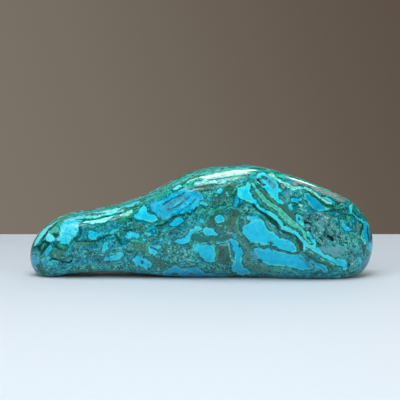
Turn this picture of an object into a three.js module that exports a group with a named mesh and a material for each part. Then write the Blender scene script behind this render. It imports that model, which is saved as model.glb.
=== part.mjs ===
import * as THREE from 'three';

// A polished freeform of chrysocolla and malachite: one solid stone, ground and tumbled smooth all
// round, with a low rounded foot at the left, a saddle, a hump, and a broad bulb at the right.
// Millimetres, +Z up. X runs along the stone, the broad front face looks along -Y, and the origin
// is on the surface that the stone stands on, under the middle of its bounding box.

const stoneLength = 180;
const surfaceLevel = 0;       // the ground base is cut off flat at this height
const sectionsAlong = 66;
const pointsAround = 40;
const tipRounding = 0.08;     // within this fraction of a tip the facets give way to a plain oval

const stoneColour = 0x2f9fae;
const stoneRoughness = 0.22;
const stoneMetalness = 0;

// Rails: [place along X, value], from the left tip to the right tip. The first and last points of
// every pair of rails meet, so the stone closes to a point on a round end.
const crestHeight = [
  [-90, 9.5], [-86.2, 21], [-79, 27.9], [-69, 32.3], [-52, 35.3], [-37, 39.3], [-21.5, 46.2],
  [-8, 53.3], [6, 56.6], [19, 58], [30, 57.1], [39, 54.9], [50, 51.4], [66, 45], [78, 38.3],
  [86.2, 28.8], [90, 17],
];
const undersideHeight = [
  [-90, 9.5], [-87.8, 2.4], [-84.5, -0.2], [-79, -1], [-70, 0.5], [-58, 1.6], [-46, 1.9],
  [-30, 0.8], [-14, -0.6], [5, -1.4], [35, -1.5], [62, -1.4], [76, -0.7], [84.5, 2.7],
  [88.4, 8.3], [90, 17],
];
const frontReach = [
  [-90, 1], [-86, -8.5], [-79, -14], [-68, -17], [-50, -17.5], [-30, -19], [-10, -22.5],
  [12, -25.5], [38, -27], [58, -25.5], [73, -21], [84, -13], [90, 1],
];
const backReach = [
  [-90, 1], [-86, 10.5], [-79, 15.5], [-68, 17.5], [-50, 17.3], [-30, 18.8], [-10, 22.5],
  [12, 26], [38, 27], [58, 25.7], [73, 21.5], [84, 14], [90, 1],
];
// Which way the top facet looks, in degrees from +Y towards +Z: over 90 it leans to the front.
const topLean = [
  [-90, 108], [-60, 104], [-20, 101], [5, 98.5], [18, 95], [30, 89], [42, 84], [60, 80], [90, 78],
];
// Exponent of the blend between facets: a higher one makes a crisper ridge.
const ridgeCrispness = [
  [-90, 5], [-50, 6], [-10, 5], [14, 4], [30, 6], [45, 9], [72, 9], [90, 6],
];
// How far out the lower front facet sits: it is ground back a little under the middle.
const lowerFrontReach = [[-90, 1.12], [10, 1.12], [34, 1.03], [56, 1.12], [90, 1.12]];

// The other facets of a section, each as [direction in degrees, distance from the middle].
const frontFacet = [172, 1];
const lowerFrontDirection = 214;
const baseFacet = [270, 1];
const lowerBackFacet = [324, 1.12];
const backFacet = [4, 1];
const upperBackFacet = [46, 1.12];
const topDistance = 1;

// Place along the stone, as 0 at the left tip and 1 at the right tip, evenly in angle, so that
// sections crowd together where the ends turn round.
function fractionAt(x) {
  return Math.acos(THREE.MathUtils.clamp(-2 * x / stoneLength, -1, 1)) / Math.PI;
}

// Natural cubic spline through the points of a rail, as a function of the fraction along.
function railCurve(points) {
  const at = points.map(([x]) => fractionAt(x));
  const value = points.map(([, v]) => v);
  const last = points.length - 1;
  const gap = (i) => at[i + 1] - at[i];
  const slope = (i) => (value[i + 1] - value[i]) / gap(i);
  const ratio = new Array(last + 1).fill(0);
  const bend = new Array(last + 1).fill(0);
  for (let i = 1; i < last; i += 1) {
    const pivot = 2 * (gap(i - 1) + gap(i)) - gap(i - 1) * ratio[i - 1];
    ratio[i] = gap(i) / pivot;
    bend[i] = (6 * (slope(i) - slope(i - 1)) - gap(i - 1) * bend[i - 1]) / pivot;
  }
  for (let i = last - 1; i > 0; i -= 1) {
    bend[i] -= ratio[i] * bend[i + 1];
  }
  return (fraction) => {
    let i = 0;
    while (i < last - 1 && fraction > at[i + 1]) {
      i += 1;
    }
    const before = at[i + 1] - fraction;
    const after = fraction - at[i];
    const cubic = (bend[i] * before ** 3 + bend[i + 1] * after ** 3) / (6 * gap(i));
    const low = (value[i] / gap(i) - bend[i] * gap(i) / 6) * before;
    const high = (value[i + 1] / gap(i) - bend[i + 1] * gap(i) / 6) * after;
    return cubic + low + high;
  };
}

const crest = railCurve(crestHeight);
const underside = railCurve(undersideHeight);
const front = railCurve(frontReach);
const back = railCurve(backReach);
const lean = railCurve(topLean);
const lowerFront = railCurve(lowerFrontReach);
const crispness = railCurve(ridgeCrispness);

// Outline of a section before it is sized: in each direction the radius is the p-norm blend of the
// facets, so every facet stays nearly flat and the edges between them are rounded. Towards a tip
// the radius evens out to 1.
function sectionOutline(fraction) {
  const facets = [
    frontFacet, [lowerFrontDirection, lowerFront(fraction)], baseFacet, lowerBackFacet,
    backFacet, upperBackFacet, [lean(fraction), topDistance],
  ];
  const blend = crispness(fraction);
  const roundness = Math.exp(-((Math.min(fraction, 1 - fraction) / tipRounding) ** 2));
  return Array.from({ length: pointsAround }, (_, k) => {
    const angle = 2 * Math.PI * k / pointsAround;
    const sum = facets.reduce((total, [degrees, distance]) => {
      const facing = Math.cos(angle - THREE.MathUtils.degToRad(degrees)) / distance;
      return total + Math.max(facing, 0) ** blend;
    }, 0);
    const radius = THREE.MathUtils.lerp(sum ** (-1 / blend), 1, roundness);
    return new THREE.Vector2(radius * Math.cos(angle), radius * Math.sin(angle));
  });
}

// The same outline stretched to the four rails, in the plane of its section, and cut at the base.
function section(fraction) {
  const outline = sectionOutline(fraction);
  const box = new THREE.Box2().setFromPoints(outline);
  const x = -stoneLength / 2 * Math.cos(Math.PI * fraction);
  return outline.map((point) => {
    const across = (point.x - box.min.x) / (box.max.x - box.min.x);
    const up = (point.y - box.min.y) / (box.max.y - box.min.y);
    const y = THREE.MathUtils.lerp(front(fraction), back(fraction), across);
    const z = THREE.MathUtils.lerp(underside(fraction), crest(fraction), up);
    return new THREE.Vector3(x, y, Math.max(z, surfaceLevel));
  });
}

// The sections joined into one closed skin: rings from tip to tip, with a fan of triangles at each.
function stoneGeometry() {
  const tips = [[-1, 0], [1, 1]].map(([side, fraction]) => (
    new THREE.Vector3(side * stoneLength / 2, front(fraction), crest(fraction))
  ));
  const rings = Array.from({ length: sectionsAlong }, (_, i) => (
    section((i + 1) / (sectionsAlong + 1))
  ));
  const points = [tips[0], ...rings.flat(), tips[1]];
  const ringStart = (i) => 1 + i * pointsAround;
  const index = [];
  for (let k = 0; k < pointsAround; k += 1) {
    const next = (k + 1) % pointsAround;
    index.push(0, ringStart(0) + next, ringStart(0) + k);
    for (let i = 0; i < sectionsAlong - 1; i += 1) {
      const a = ringStart(i) + k;
      const b = ringStart(i) + next;
      const c = ringStart(i + 1) + next;
      const d = ringStart(i + 1) + k;
      index.push(a, b, c, a, c, d);
    }
    const finalRing = ringStart(sectionsAlong - 1);
    index.push(points.length - 1, finalRing + k, finalRing + next);
  }
  const geometry = new THREE.BufferGeometry().setFromPoints(points);
  geometry.setIndex(index);
  geometry.computeVertexNormals();
  return geometry;
}

const stoneMaterial = new THREE.MeshStandardMaterial({
  color: stoneColour, roughness: stoneRoughness, metalness: stoneMetalness,
});
const stone = new THREE.Mesh(stoneGeometry(), stoneMaterial);
stone.name = 'chrysocolla_stone';

const specimen = new THREE.Group();
specimen.add(stone);

export default specimen;
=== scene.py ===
import math

import bpy
import numpy as np
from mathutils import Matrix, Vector


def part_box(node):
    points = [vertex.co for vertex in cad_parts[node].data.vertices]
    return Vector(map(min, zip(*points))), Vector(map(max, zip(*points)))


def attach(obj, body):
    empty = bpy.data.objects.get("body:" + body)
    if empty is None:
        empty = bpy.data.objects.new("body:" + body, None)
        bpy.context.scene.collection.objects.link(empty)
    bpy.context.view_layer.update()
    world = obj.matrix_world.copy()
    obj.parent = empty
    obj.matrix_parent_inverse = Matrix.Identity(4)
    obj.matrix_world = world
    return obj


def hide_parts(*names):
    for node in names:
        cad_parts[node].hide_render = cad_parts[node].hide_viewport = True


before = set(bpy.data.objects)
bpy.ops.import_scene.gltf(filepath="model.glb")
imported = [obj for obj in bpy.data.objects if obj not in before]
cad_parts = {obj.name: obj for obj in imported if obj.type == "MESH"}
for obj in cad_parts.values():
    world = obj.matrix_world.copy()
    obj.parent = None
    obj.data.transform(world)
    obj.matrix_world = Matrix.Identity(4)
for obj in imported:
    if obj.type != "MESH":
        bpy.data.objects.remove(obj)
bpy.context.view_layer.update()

mm = 0.001
stoneLow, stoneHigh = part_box("chrysocolla_stone")
stoneLength = (stoneHigh[0] - stoneLow[0]) / mm
print("frame loaded, stone", round(stoneLength, 1), "mm long")

# The stone's form in millimetres. Rails run from tip to tip as (place along X, value).
stoneForm = {
    "rings": 424,                # sections along the stone
    "around": 230,               # points round each section
    "tipRounding": 0.08,         # within this fraction of a tip the section is a plain oval
    "bulbCrowd": (62, 0.06, 0.35),      # rings stand closer here: place, width, share more
    "frontCrowd": (0.5, 0.16, 1.2),     # so do points on the front: part of a turn, width, share
    "crest": [(-90, 9.5), (-86.2, 21), (-79, 27.9), (-69, 32.3), (-52, 35.3), (-37, 39.3),
              (-21.5, 46.2), (-8, 53.3), (6, 56.6), (19, 58), (30, 57.1), (39, 54.9), (50, 51.4),
              (66, 45), (78, 38.3), (86.2, 28.8), (90, 17)],
    "underside": [(-90, 9.5), (-87.8, 2.4), (-84.5, -0.2), (-79, -1), (-70, 0.5), (-58, 1.6),
                  (-46, 1.9), (-30, 0.8), (-14, -0.6), (5, -1.4), (35, -1.5), (62, -1.4),
                  (76, -0.7), (84.5, 2.7), (88.4, 8.3), (90, 17)],
    "front": [(-90, 1), (-86, -8.5), (-79, -14), (-68, -17), (-50, -17.5), (-30, -19),
              (-10, -22.5), (12, -25.5), (38, -27), (58, -25.5), (73, -21), (84, -13), (90, 1)],
    "back": [(-90, 1), (-86, 10.5), (-79, 15.5), (-68, 17.5), (-50, 17.3), (-30, 18.8),
             (-10, 22.5), (12, 26), (38, 27), (58, 25.7), (73, 21.5), (84, 14), (90, 1)],
    "topLean": [(-90, 108), (-60, 104), (-20, 101), (5, 98.5), (18, 95), (30, 89), (42, 84),
                (60, 80), (90, 78)],
    "crispness": [(-90, 5), (-50, 6), (-10, 5), (14, 4), (30, 6), (45, 9), (72, 9), (90, 6)],
    "lowerFront": [(-90, 1.12), (10, 1.12), (34, 1.03), (56, 1.12), (90, 1.12)],
    # facets as (direction in degrees from +Y towards +Z, distance from the middle)
    "facets": [(172, 1), (270, 1), (324, 1.12), (4, 1), (46, 1.12)],
}


def fractionAt(x):
    # place along the stone as 0 to 1, even in angle: acos(-2x / length) / pi
    return np.arccos(np.clip(-2 * np.asarray(x, float) / stoneLength, -1, 1)) / math.pi


def railCurve(points):
    # natural cubic spline through the rail's points, as a function of the fraction along
    at = fractionAt([p[0] for p in points])
    value = np.array([p[1] for p in points], float)
    gap = np.diff(at)
    n = len(at)
    system = np.eye(n)
    pull = np.zeros(n)
    inner = np.arange(1, n - 1)
    system[inner, inner - 1] = gap[:-1]
    system[inner, inner] = 2 * (gap[:-1] + gap[1:])
    system[inner, inner + 1] = gap[1:]
    pull[1:-1] = 6 * (np.diff(value)[1:] / gap[1:] - np.diff(value)[:-1] / gap[:-1])
    bend = np.linalg.solve(system, pull)

    def curve(fraction):
        i = np.clip(np.searchsorted(at, fraction) - 1, 0, n - 2)
        before, after, g = at[i + 1] - fraction, fraction - at[i], gap[i]
        cubic = (bend[i] * before ** 3 + bend[i + 1] * after ** 3) / (6 * g)
        low = (value[i] / g - bend[i] * g / 6) * before
        high = (value[i + 1] / g - bend[i + 1] * g / 6) * after
        return cubic + low + high

    return curve


def spread(count, density):
    # places from 0 to 1 whose spacing is the inverse of a density: the density's running sum, inverted
    t = np.linspace(0, 1, 2000)
    total = np.concatenate([[0], np.cumsum((density(t[1:]) + density(t[:-1])) / 2)])
    return np.interp(np.linspace(0, 1, count), total / total[-1], t)


def stoneSurface(fraction, angle):
    # A section is a rounded polygon: in each direction the radius is the p-norm blend of the facets.
    # It is then stretched to the crest, underside, front and back rails and cut off at the base.
    rails = {k: railCurve(v)(fraction)[:, None] for k, v in stoneForm.items()
             if isinstance(v, list) and k != "facets"}
    facets = stoneForm["facets"] + [(214, rails["lowerFront"]), (rails["topLean"], 1)]
    p = rails["crispness"]
    blend = sum(np.maximum(np.cos(angle - np.radians(d)) / r, 0) ** p for d, r in facets)
    nearTip = np.minimum(fraction, 1 - fraction)[:, None] / stoneForm["tipRounding"]
    roundness = np.exp(-nearTip ** 2)
    radius = (1 - roundness) * blend ** (-1 / p) + roundness
    y, z = radius * np.cos(angle), radius * np.sin(angle)
    across = (y - y.min(1, keepdims=True)) / np.ptp(y, axis=1, keepdims=True)
    up = (z - z.min(1, keepdims=True)) / np.ptp(z, axis=1, keepdims=True)
    x = -stoneLength / 2 * np.cos(math.pi * fraction)[:, None] + 0 * angle
    y = rails["front"] + (rails["back"] - rails["front"]) * across
    z = rails["underside"] + (rails["crest"] - rails["underside"]) * up
    return np.stack([x, y, np.maximum(z, 0)], -1)


def surfaceNormals(grid):
    # outward normal at each grid point: the cross product of the two directions of the grid
    along = np.gradient(grid, axis=0)
    wrapped = np.concatenate([grid[:, -1:], grid, grid[:, :1]], axis=1)
    around = (wrapped[:, 2:] - wrapped[:, :-2]) / 2
    n = np.cross(around, along)
    return n / np.maximum(np.linalg.norm(n, axis=-1, keepdims=True), 1e-9)


def hashed(ix, iy, iz, seed):
    # a repeatable number from 0 to 1 for every lattice corner
    h = (ix * 374761393 + iy * 668265263 + iz * 2147483647 + seed * 1274126177) & 0xFFFFFFFF
    h = ((h ^ (h >> 13)) * 1274126177) & 0xFFFFFFFF
    h = ((h ^ (h >> 16)) * 2246822519) & 0xFFFFFFFF
    return ((h ^ (h >> 15)) & 0xFFFFFF) / float(0x1000000)


def smoothNoise(p, size, seed):
    # value noise from -1 to 1: lattice values blended with the quintic 6t^5 - 15t^4 + 10t^3
    q = p / size
    cell = np.floor(q).astype(np.int64)
    t = q - cell
    t = t ** 3 * (t * (t * 6 - 15) + 10)
    total = 0
    for dx in (0, 1):
        for dy in (0, 1):
            for dz in (0, 1):
                weight = ((t[..., 0] if dx else 1 - t[..., 0]) * (t[..., 1] if dy else 1 - t[..., 1])
                          * (t[..., 2] if dz else 1 - t[..., 2]))
                total = total + weight * hashed(cell[..., 0] + dx, cell[..., 1] + dy,
                                                cell[..., 2] + dz, seed)
    return total * 2 - 1


def layeredNoise(p, size, seed, layers=3):
    # smooth noise summed over finer and finer sizes, each at half the strength
    return sum(smoothNoise(p, size / 2 ** i, seed + 17 * i) / 2 ** i for i in range(layers))


def nearestSeed(p, size, seed):
    # cell noise: distance from each point to the nearest of one random seed point per cell
    q = p / size
    cell = np.floor(q).astype(np.int64)
    best = np.full(q.shape[:-1], 9.0)
    for dx in (-1, 0, 1):
        for dy in (-1, 0, 1):
            for dz in (-1, 0, 1):
                c = cell + np.array([dx, dy, dz])
                spot = np.stack([hashed(c[..., 0], c[..., 1], c[..., 2], seed + k)
                                 for k in (0, 1, 2)], -1)
                best = np.minimum(best, np.linalg.norm(c + spot - q, axis=-1))
    return best * size


def softened(points, closed, rounds=2):
    # corner cutting: each corner gives way to points a quarter and three quarters along its sides
    pts = np.array(points, float)
    for _ in range(rounds):
        nxt = np.roll(pts, -1, axis=0) if closed else pts[1:]
        cur = pts if closed else pts[:-1]
        cut = np.stack([0.75 * cur + 0.25 * nxt, 0.25 * cur + 0.75 * nxt], 1)
        cut = cut.reshape(-1, pts.shape[1])
        pts = cut if closed else np.concatenate([pts[:1], cut, pts[-1:]])
    return pts


def segmentDistance(u, w, a, b):
    # distance from each point to the segment a-b, and how far along it the nearest place is
    along = b[:2] - a[:2]
    t = ((u - a[0]) * along[0] + (w - a[1]) * along[1]) / max(along @ along, 1e-9)
    t = np.clip(t, 0, 1)
    return np.hypot(u - a[0] - t * along[0], w - a[1] - t * along[1]), t


def patchDepth(u, w, outline):
    # signed depth inside a closed outline: distance to the nearest side, positive inside
    pts = softened(outline, True)
    nearest = np.full(u.shape, 99.0)
    inside = np.zeros(u.shape, bool)
    for a, b in zip(pts, np.roll(pts, -1, axis=0)):
        nearest = np.minimum(nearest, segmentDistance(u, w, a, b)[0])
        crosses = (a[1] > w) != (b[1] > w)
        rise = b[1] - a[1] if b[1] != a[1] else 1e-9
        inside ^= crosses & (u < (b[0] - a[0]) * (w - a[1]) / rise + a[0])
    return np.where(inside, nearest, -nearest)


def ribbonDepth(u, w, path):
    # signed depth inside a band along a path whose points are (x, height, half width)
    if len(path) == 1:
        return path[0][2] - np.hypot(u - path[0][0], w - path[0][1])
    pts = softened(path, False)
    depth = np.full(u.shape, -99.0)
    for a, b in zip(pts[:-1], pts[1:]):
        distance, t = segmentDistance(u, w, a, b)
        depth = np.maximum(depth, a[2] + (b[2] - a[2]) * t - distance)
    return depth


# The marks that can be told apart on the broad front face, in millimetres on the upright plane
# through the stone's middle. Each is (mineral, tone, grain, points): points of (x, height) are a
# closed patch, points of (x, height, half width) are a band along a path.
# tone runs from -1, deep blue, to 1, pale cyan, and grain is how speckled the mark is.
frontMarks = {
    # the foot, at the left
    # the next mark is partly the foot's own pale cyan and partly a painted highlight: the soft glow of
    # light on the foot's upper shoulder
    "footCyanAndHighlight": ("blue", 0.62, 0.75, [(-75, 26), (-71, 29.5), (-61, 32.2), (-61.5, 29.5), (-64.5, 27),
        (-64, 22.5), (-66.5, 19.5), (-68.5, 18.3), (-70, 15.6), (-73.5, 16), (-76, 18.5), (-75, 21),
        (-73.8, 22.5)]),
    "footRim": ("blue", 0.9, 0.2, [(-87, 15, 0.6), (-84.5, 20.5, 1.1), (-80.5, 24.5, 1.1),
        (-76.8, 28, 0.8)]),
    "footShoulder": ("blue", 0.7, 0.4, [(-82, 18), (-80.5, 22), (-77.8, 24.5), (-77.5, 21), (-75.8, 19.5),
        (-78, 17.8)]),
    "footUpper": ("haze", 0.1, 0.2, [(-76, 28.8, 0.9), (-72, 29.6, 1.1), (-66, 30.8, 0.9)]),
    "footBlue": ("blue", -0.3, 0.3, [(-79.5, 14.5, 1.6), (-81, 11.5, 1.3)]),
    "footPale": ("haze", 0.3, 0.3, [(-70, 11.5, 1.4), (-67, 10.5, 1.8), (-64, 10, 1.2)]),
    "footDeep": ("blue", -0.8, 0.5, [(-88, 9, 1.6), (-86.8, 6, 2), (-84, 3, 1)]),
    "footLow": ("haze", -0.1, 0.7, [(-80, 2.5, 1.2), (-77, 4.5, 2.4), (-73, 3.5, 1.8)]),
    "footSpot": ("mint", 0, 0.1, [(-77, 23.2, 1.7), (-75.5, 24.2, 1.2)]),
    "footSpotShade": ("dark", 0, 0.4, [(-77.3, 21.6, 0.5), (-75.5, 20.8, 1.1)]),
    "footGreen": ("mint", -0.5, 0.2, [(-75.5, 15.2, 0.7), (-73, 14.8, 1.2), (-70.5, 14.4, 0.8)]),
    "footShade": ("dark", 0.3, 0.3, [(-77.5, 16.8, 0.8), (-76, 14.8, 1), (-73, 13.4, 0.6)]),
    "footMoss": ("olive", 0, 0.5, [(-77, 12.5, 1.2), (-74.5, 12, 1.1)]),
    "footBrown": ("umber", 0, 0.3, [(-73, 12.6, 0.7), (-71, 12.4, 1)]),
    "footLoopTop": ("dark", 0, 0.2, [(-79.9, 16.8, 0.7), (-82.3, 17.8, 0.7), (-84.4, 15.4, 0.7),
        (-85.2, 12.8, 0.5)]),
    "footLoopLow": ("dark", 0, 0.2, [(-80.2, 16.3, 0.7), (-82, 14, 0.6), (-83.6, 12.8, 0.9),
        (-84.3, 10.6, 0.4)]),
    "footLoopHeart": ("mint", -0.6, 0.4, [(-83.6, 14.6, 0.7), (-82.2, 16, 0.8)]),
    "footVein": ("dark", 0, 0.2, [(-83.6, 17.6, 0.3), (-81.5, 21.4, 0.45), (-78.5, 25, 0.35),
        (-76.2, 27.2, 0.5)]),
    "footCorner": ("dark", 0.3, 0.5, [(-85.4, 5, 0.7), (-84, 2.5, 1.1), (-82.5, 0.5, 1)]),
    "footSmudge": ("dark", -0.4, 0.4, [(-87.5, 14.6, 0.8), (-86, 14.8, 0.7)]),
    "footEdge": ("dark", -0.5, 0.5, [(-63.4, 25.4, 0.5), (-63.4, 22, 0.8), (-64.5, 19.7, 0.8),
        (-66.6, 18.8, 0.4)]),
    "footVeil": ("lav", -0.7, 0.6, [(-62.2, 24, 1), (-61.4, 21.8, 1.3), (-62.8, 20, 0.8)]),
    "footMossRight": ("moss", 0, 0.7, [(-67.3, 16.2, 0.8), (-65, 14, 1), (-66, 12, 1.3)]),
    # the saddle
    "saddleOval": ("blue", -0.1, 0.4, [(-59.6, 19.4), (-59.4, 22.4), (-57.3, 23.8), (-54.3, 22.8),
        (-53.4, 21), (-55, 19.2), (-57.5, 18.7)]),
    "saddleTail": ("blue", -0.3, 0.5, [(-54, 21, 0.9), (-50, 21.9, 0.5), (-46.5, 22.9, 0.4),
        (-43.5, 24, 0.35)]),
    "saddleMist": ("haze", 0.3, 0.3, [(-44, 24.6, 1), (-40.5, 25.5, 1.4), (-38, 25.6, 1)]),
    "saddleDusk": ("haze", -0.9, 0.7, [(-51.5, 20, 0.9), (-48.5, 20.6, 0.9), (-46, 21.6, 0.9)]),
    "saddleVein": ("dark", -0.4, 0.3, [(-66, 17.3, 0.25), (-62, 17.7, 0.3), (-57, 17.2, 0.4),
        (-53.5, 18.7, 0.8), (-51, 20.2, 0.35), (-47.5, 20.9, 0.3)]),
    "saddleSpeckle": ("haze", -0.3, 0.9, [(-59, 15, 1.6), (-57, 13.6, 1.5), (-55.5, 15, 0.9)]),
    "saddleTongue": ("blue", -0.05, 0.55, [(-52.3, 12.8), (-51.6, 15.8), (-49.6, 17.8), (-48.2, 16.7),
        (-48.8, 14.5), (-50.4, 11.8)]),
    "saddleHaze": ("haze", -0.6, 0.5, [(-50.5, 18.5, 0.9), (-47.5, 18.8, 1.4), (-45.5, 17.5, 0.9)]),
    "saddleDots": ("dark", -0.5, 0.2, [(-46.8, 15.4, 0.8)]),
    "saddleDots2": ("dark", -0.5, 0.2, [(-45.4, 18.2, 0.4), (-45.6, 16.6, 0.5)]),
    "saddleRind": ("mint", -0.2, 0.3, [(-43.2, 22.4, 0.35), (-42.7, 20.6, 0.5)]),
    "saddleHook": ("dark", 0.4, 0.3, [(-44, 20, 0.6), (-43, 18, 0.8), (-41.8, 16.6, 0.5)]),
    "saddleBrown": ("umber", 0, 0.5, [(-42, 22.6, 0.8), (-40.5, 22.4, 1.1)]),
    "saddleSeam": ("dark", 0.2, 0.2, [(-40, 23.6, 0.5), (-37.5, 23.5, 0.6), (-35.2, 23.2, 0.3)]),
    "saddlePale": ("blue", 0.15, 0.7, [(-40, 20.6), (-38, 22.2), (-35, 22.7), (-32.5, 21.8), (-31.3, 20.2),
        (-34, 19.3), (-37, 19.1), (-39.4, 19)]),
    "saddleUnder": ("haze", -0.8, 0.4, [(-41, 18.8, 0.8), (-38.5, 18, 0.9), (-36, 17.8, 0.6)]),
    "saddleBlue": ("blue", -0.4, 0.5, [(-42.6, 14.2, 1), (-40.5, 15, 1.1), (-38, 16.9, 0.7)]),
    "saddleSmoke": ("olive", 0, 0.5, [(-37, 16, 1), (-34, 15.2, 1.5), (-31, 14, 2), (-28.5, 14.4, 1.1)]),
    "saddleBrownEye": ("umber", 0, 0.3, [(-35, 16.5, 0.8), (-32.5, 16.3, 1.3)]),
    "saddleArc": ("mint", -0.3, 0.3, [(-36, 18.3, 0.18), (-32.5, 18.3, 0.26), (-30, 16.9, 0.3),
        (-28.3, 16.7, 0.3)]),
    "saddleDiagonal": ("umber", -0.2, 0.4, [(-30, 12.6, 0.8), (-27, 10.6, 1.2), (-24.2, 8.4, 1.6),
        (-22.4, 6, 1.9), (-19.5, 4.2, 1.3)]),
    "saddleLowBlue": ("blue", -0.15, 0.45, [(-50.5, 7.6), (-48, 7), (-45.5, 7.9), (-43, 8.9), (-40.3, 10.2),
        (-41.3, 12), (-44, 11.4), (-47, 9.7), (-50.3, 9.2)]),
    "saddleLowHaze": ("haze", -0.8, 0.4, [(-64, 7, 0.7), (-60, 7.2, 1.5), (-55, 8, 1.3), (-52, 8.4, 0.8)]),
    "saddleLens": ("blue", 0, 0.6, [(-36.2, 7.8), (-35.4, 9.7), (-33.4, 10.3), (-31, 9.7), (-28, 8),
        (-25.4, 5.6), (-26.2, 3.9), (-29.4, 3.1), (-32.2, 4.9), (-35, 6)]),
    "saddleLensDots": ("dark", -0.7, 0, [(-30.7, 7.6, 0.4), (-30.6, 6.5, 0.45)]),
    "saddleLensDot": ("dark", -0.7, 0, [(-28, 5.7, 0.42)]),
    "saddleSpecks": ("blue", 0.15, 0.5, [(-27.6, 11.4), (-27.2, 14.7), (-24, 16.1), (-21.3, 15.6),
        (-20.9, 13.8), (-23, 12.9), (-22.9, 11.2), (-25.5, 10.5)]),
    "saddleSpeckGap": ("dark", -0.7, 0.2, [(-25.8, 14.4, 0.5), (-24.4, 13.5, 0.55), (-23.3, 12.9, 0.5)]),
    "saddleTeal": ("blue", -0.4, 0.4, [(-24.5, 17.8, 0.6), (-22, 17.8, 1), (-20.5, 18.6, 0.6)]),
    "saddleRing": ("blue", 0.2, 0.4, [(-24.9, 23.5, 1.1)]),
    "saddlePebble": ("blue", 0.1, 0.5, [(-28.5, 21.4, 0.7), (-27, 21.2, 0.8)]),
    "saddleGreen": ("mint", -0.7, 0.35, [(-43.5, 28.3, 0.8), (-40.5, 29.3, 1.4), (-37.5, 29.8, 1.1)]),
    "saddleGreenCore": ("dark", 0.4, 0.2, [(-38.6, 29.6, 0.5), (-36.8, 29.8, 0.8), (-36.3, 28.4, 0.8)]),
    "saddleMoss": ("moss", 0, 1, [(-37, 28), (-33.5, 27.2), (-30, 26.4), (-27.6, 25), (-29, 22),
        (-32.5, 22.2), (-34.2, 24.4)]),
    # the next two marks lie along the glint on the saddle: their greyish and pale mint are partly the
    # stone's own and partly a painted highlight
    "saddleGreyAndGlint": ("umber", 0.6, 0.5, [(-51, 30.3, 0.4), (-48, 29.3, 0.6), (-45, 29.7, 0.8),
        (-43, 30.6, 0.9), (-41, 31.9, 1)]),
    "saddleSparkAndGlint": ("mint", 0.7, 0.8, [(-42, 31.4, 0.5), (-39, 31.9, 0.9), (-36.6, 33.2, 0.8)]),
    "saddleStripeA": ("blue", 0.9, 0.2, [(-61, 27.6, 0.7), (-56, 27.6, 1.1), (-51, 29, 1), (-47, 30.8, 0.6),
        (-43, 33, 0.6), (-40, 34.4, 0.4)]),
    "saddleStripeB": ("blue", 1, 0.1, [(-57, 33.2, 0.5), (-53, 33.2, 0.8), (-48, 33.9, 1.1),
        (-44, 35, 0.8)]),
    "saddleStripeC": ("blue", 0.8, 0.1, [(-61, 30.6, 0.5), (-55, 30.8, 0.6), (-50, 31.8, 0.5),
        (-45.5, 33, 0.9)]),
    "saddleStripeD": ("blue", 0.4, 0.2, [(-42, 35.6, 0.5), (-37, 36.8, 0.9), (-33, 38.7, 0.9),
        (-29, 40.6, 0.5)]),
    "saddleLineA": ("dark", 0.5, 0.1, [(-65.5, 29.3, 0.25), (-60, 29.1, 0.35), (-55, 29.3, 0.3),
        (-50, 30.6, 0.3), (-45.5, 32.2, 0.3), (-41.5, 33, 0.4)]),
    "saddleLineB": ("dark", 0.5, 0.3, [(-60, 33, 0.5), (-56.5, 32.2, 0.5), (-53, 32.3, 0.25),
        (-50.5, 32.4, 0.25)]),
    "saddleLineC": ("dark", 0.6, 0.5, [(-41, 34.6, 0.3), (-37.5, 35, 0.4), (-33.8, 35.6, 0.7)]),
    # the speckled blue ground under the hump's left shoulder
    "kite": ("blue", 0.05, 0, [(-36, 30.9), (-33, 32.6), (-31.4, 34.5), (-30.2, 37.2), (-28.6, 35.2),
        (-28, 33), (-26, 31.4), (-22.3, 30.4), (-22.2, 28.4), (-25, 27.8), (-28.5, 28.1), (-32, 28.7),
        (-34.6, 29.7)]),
    "shoulder": ("blue", -0.25, 0.75, [(-28.3, 35.5), (-26, 38.5), (-20, 40.6), (-14, 43.8), (-9, 45),
        (-3, 44), (0.4, 41.5), (1.6, 40), (-1.5, 38.5), (-2.6, 36), (-4.2, 33.8), (-6.5, 32.3), (-12, 31.6),
        (-15, 31.6), (-15.6, 30.2), (-19.5, 28.8), (-22.2, 29.6), (-23.5, 31.5), (-27, 34)]),
    "shoulderBlue": ("blue", -0.7, 0.15, [(-7.5, 43.6, 0.9), (-4, 43, 1.4), (-1, 41.2, 1.4)]),
    "shoulderBright": ("blue", 0.15, 0, [(-14.6, 33.6), (-12, 35.4), (-8.8, 36.6), (-6.8, 39.2),
        (-2.8, 39.4), (-3, 36.8), (-5, 33.8), (-8, 32.4), (-12, 32.2)]),
    "shoulderNavy": ("lav", -1, 0.8, [(-27, 36.2, 0.6), (-26, 34, 0.9), (-25.2, 31.8, 0.5)]),
    "weave": ("lav", -0.15, 0.9, [(-20, 35.4, 0.9), (-17, 36.8, 2.1), (-13, 38.2, 2.3), (-9.5, 40, 1.9),
        (-6.5, 41.6, 0.9)]),
    "weaveTail": ("lav", -0.35, 0.8, [(-21, 32.6, 0.6), (-18, 33.6, 1.4), (-15, 35.4, 1.2)]),
    "weaveEdge": ("dark", -0.9, 0.4, [(-19.6, 37.4, 0.5), (-16, 39.4, 0.3), (-12, 41.4, 0.5),
        (-9, 42.8, 0.3)]),
    "shoulderLine": ("dark", -0.1, 0.2, [(-23.5, 25.5, 0.5), (-19.5, 26.4, 0.5), (-17, 28, 0.5),
        (-15, 30.2, 0.4), (-13.3, 31.3, 0.5), (-9.5, 31.4, 0.45), (-6, 32, 0.35), (-4, 33.2, 0.4),
        (-2.6, 35, 0.6)]),
    "shoulderRust": ("umber", 0.1, 0.2, [(-23.5, 25.3, 0.5), (-20.5, 25, 0.9), (-18.5, 26.2, 0.5)]),
    "lens": ("blue", -0.1, 0.25, [(-17.8, 26.4), (-15, 28.6), (-12.8, 30), (-10.2, 29.6), (-9.2, 28),
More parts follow.
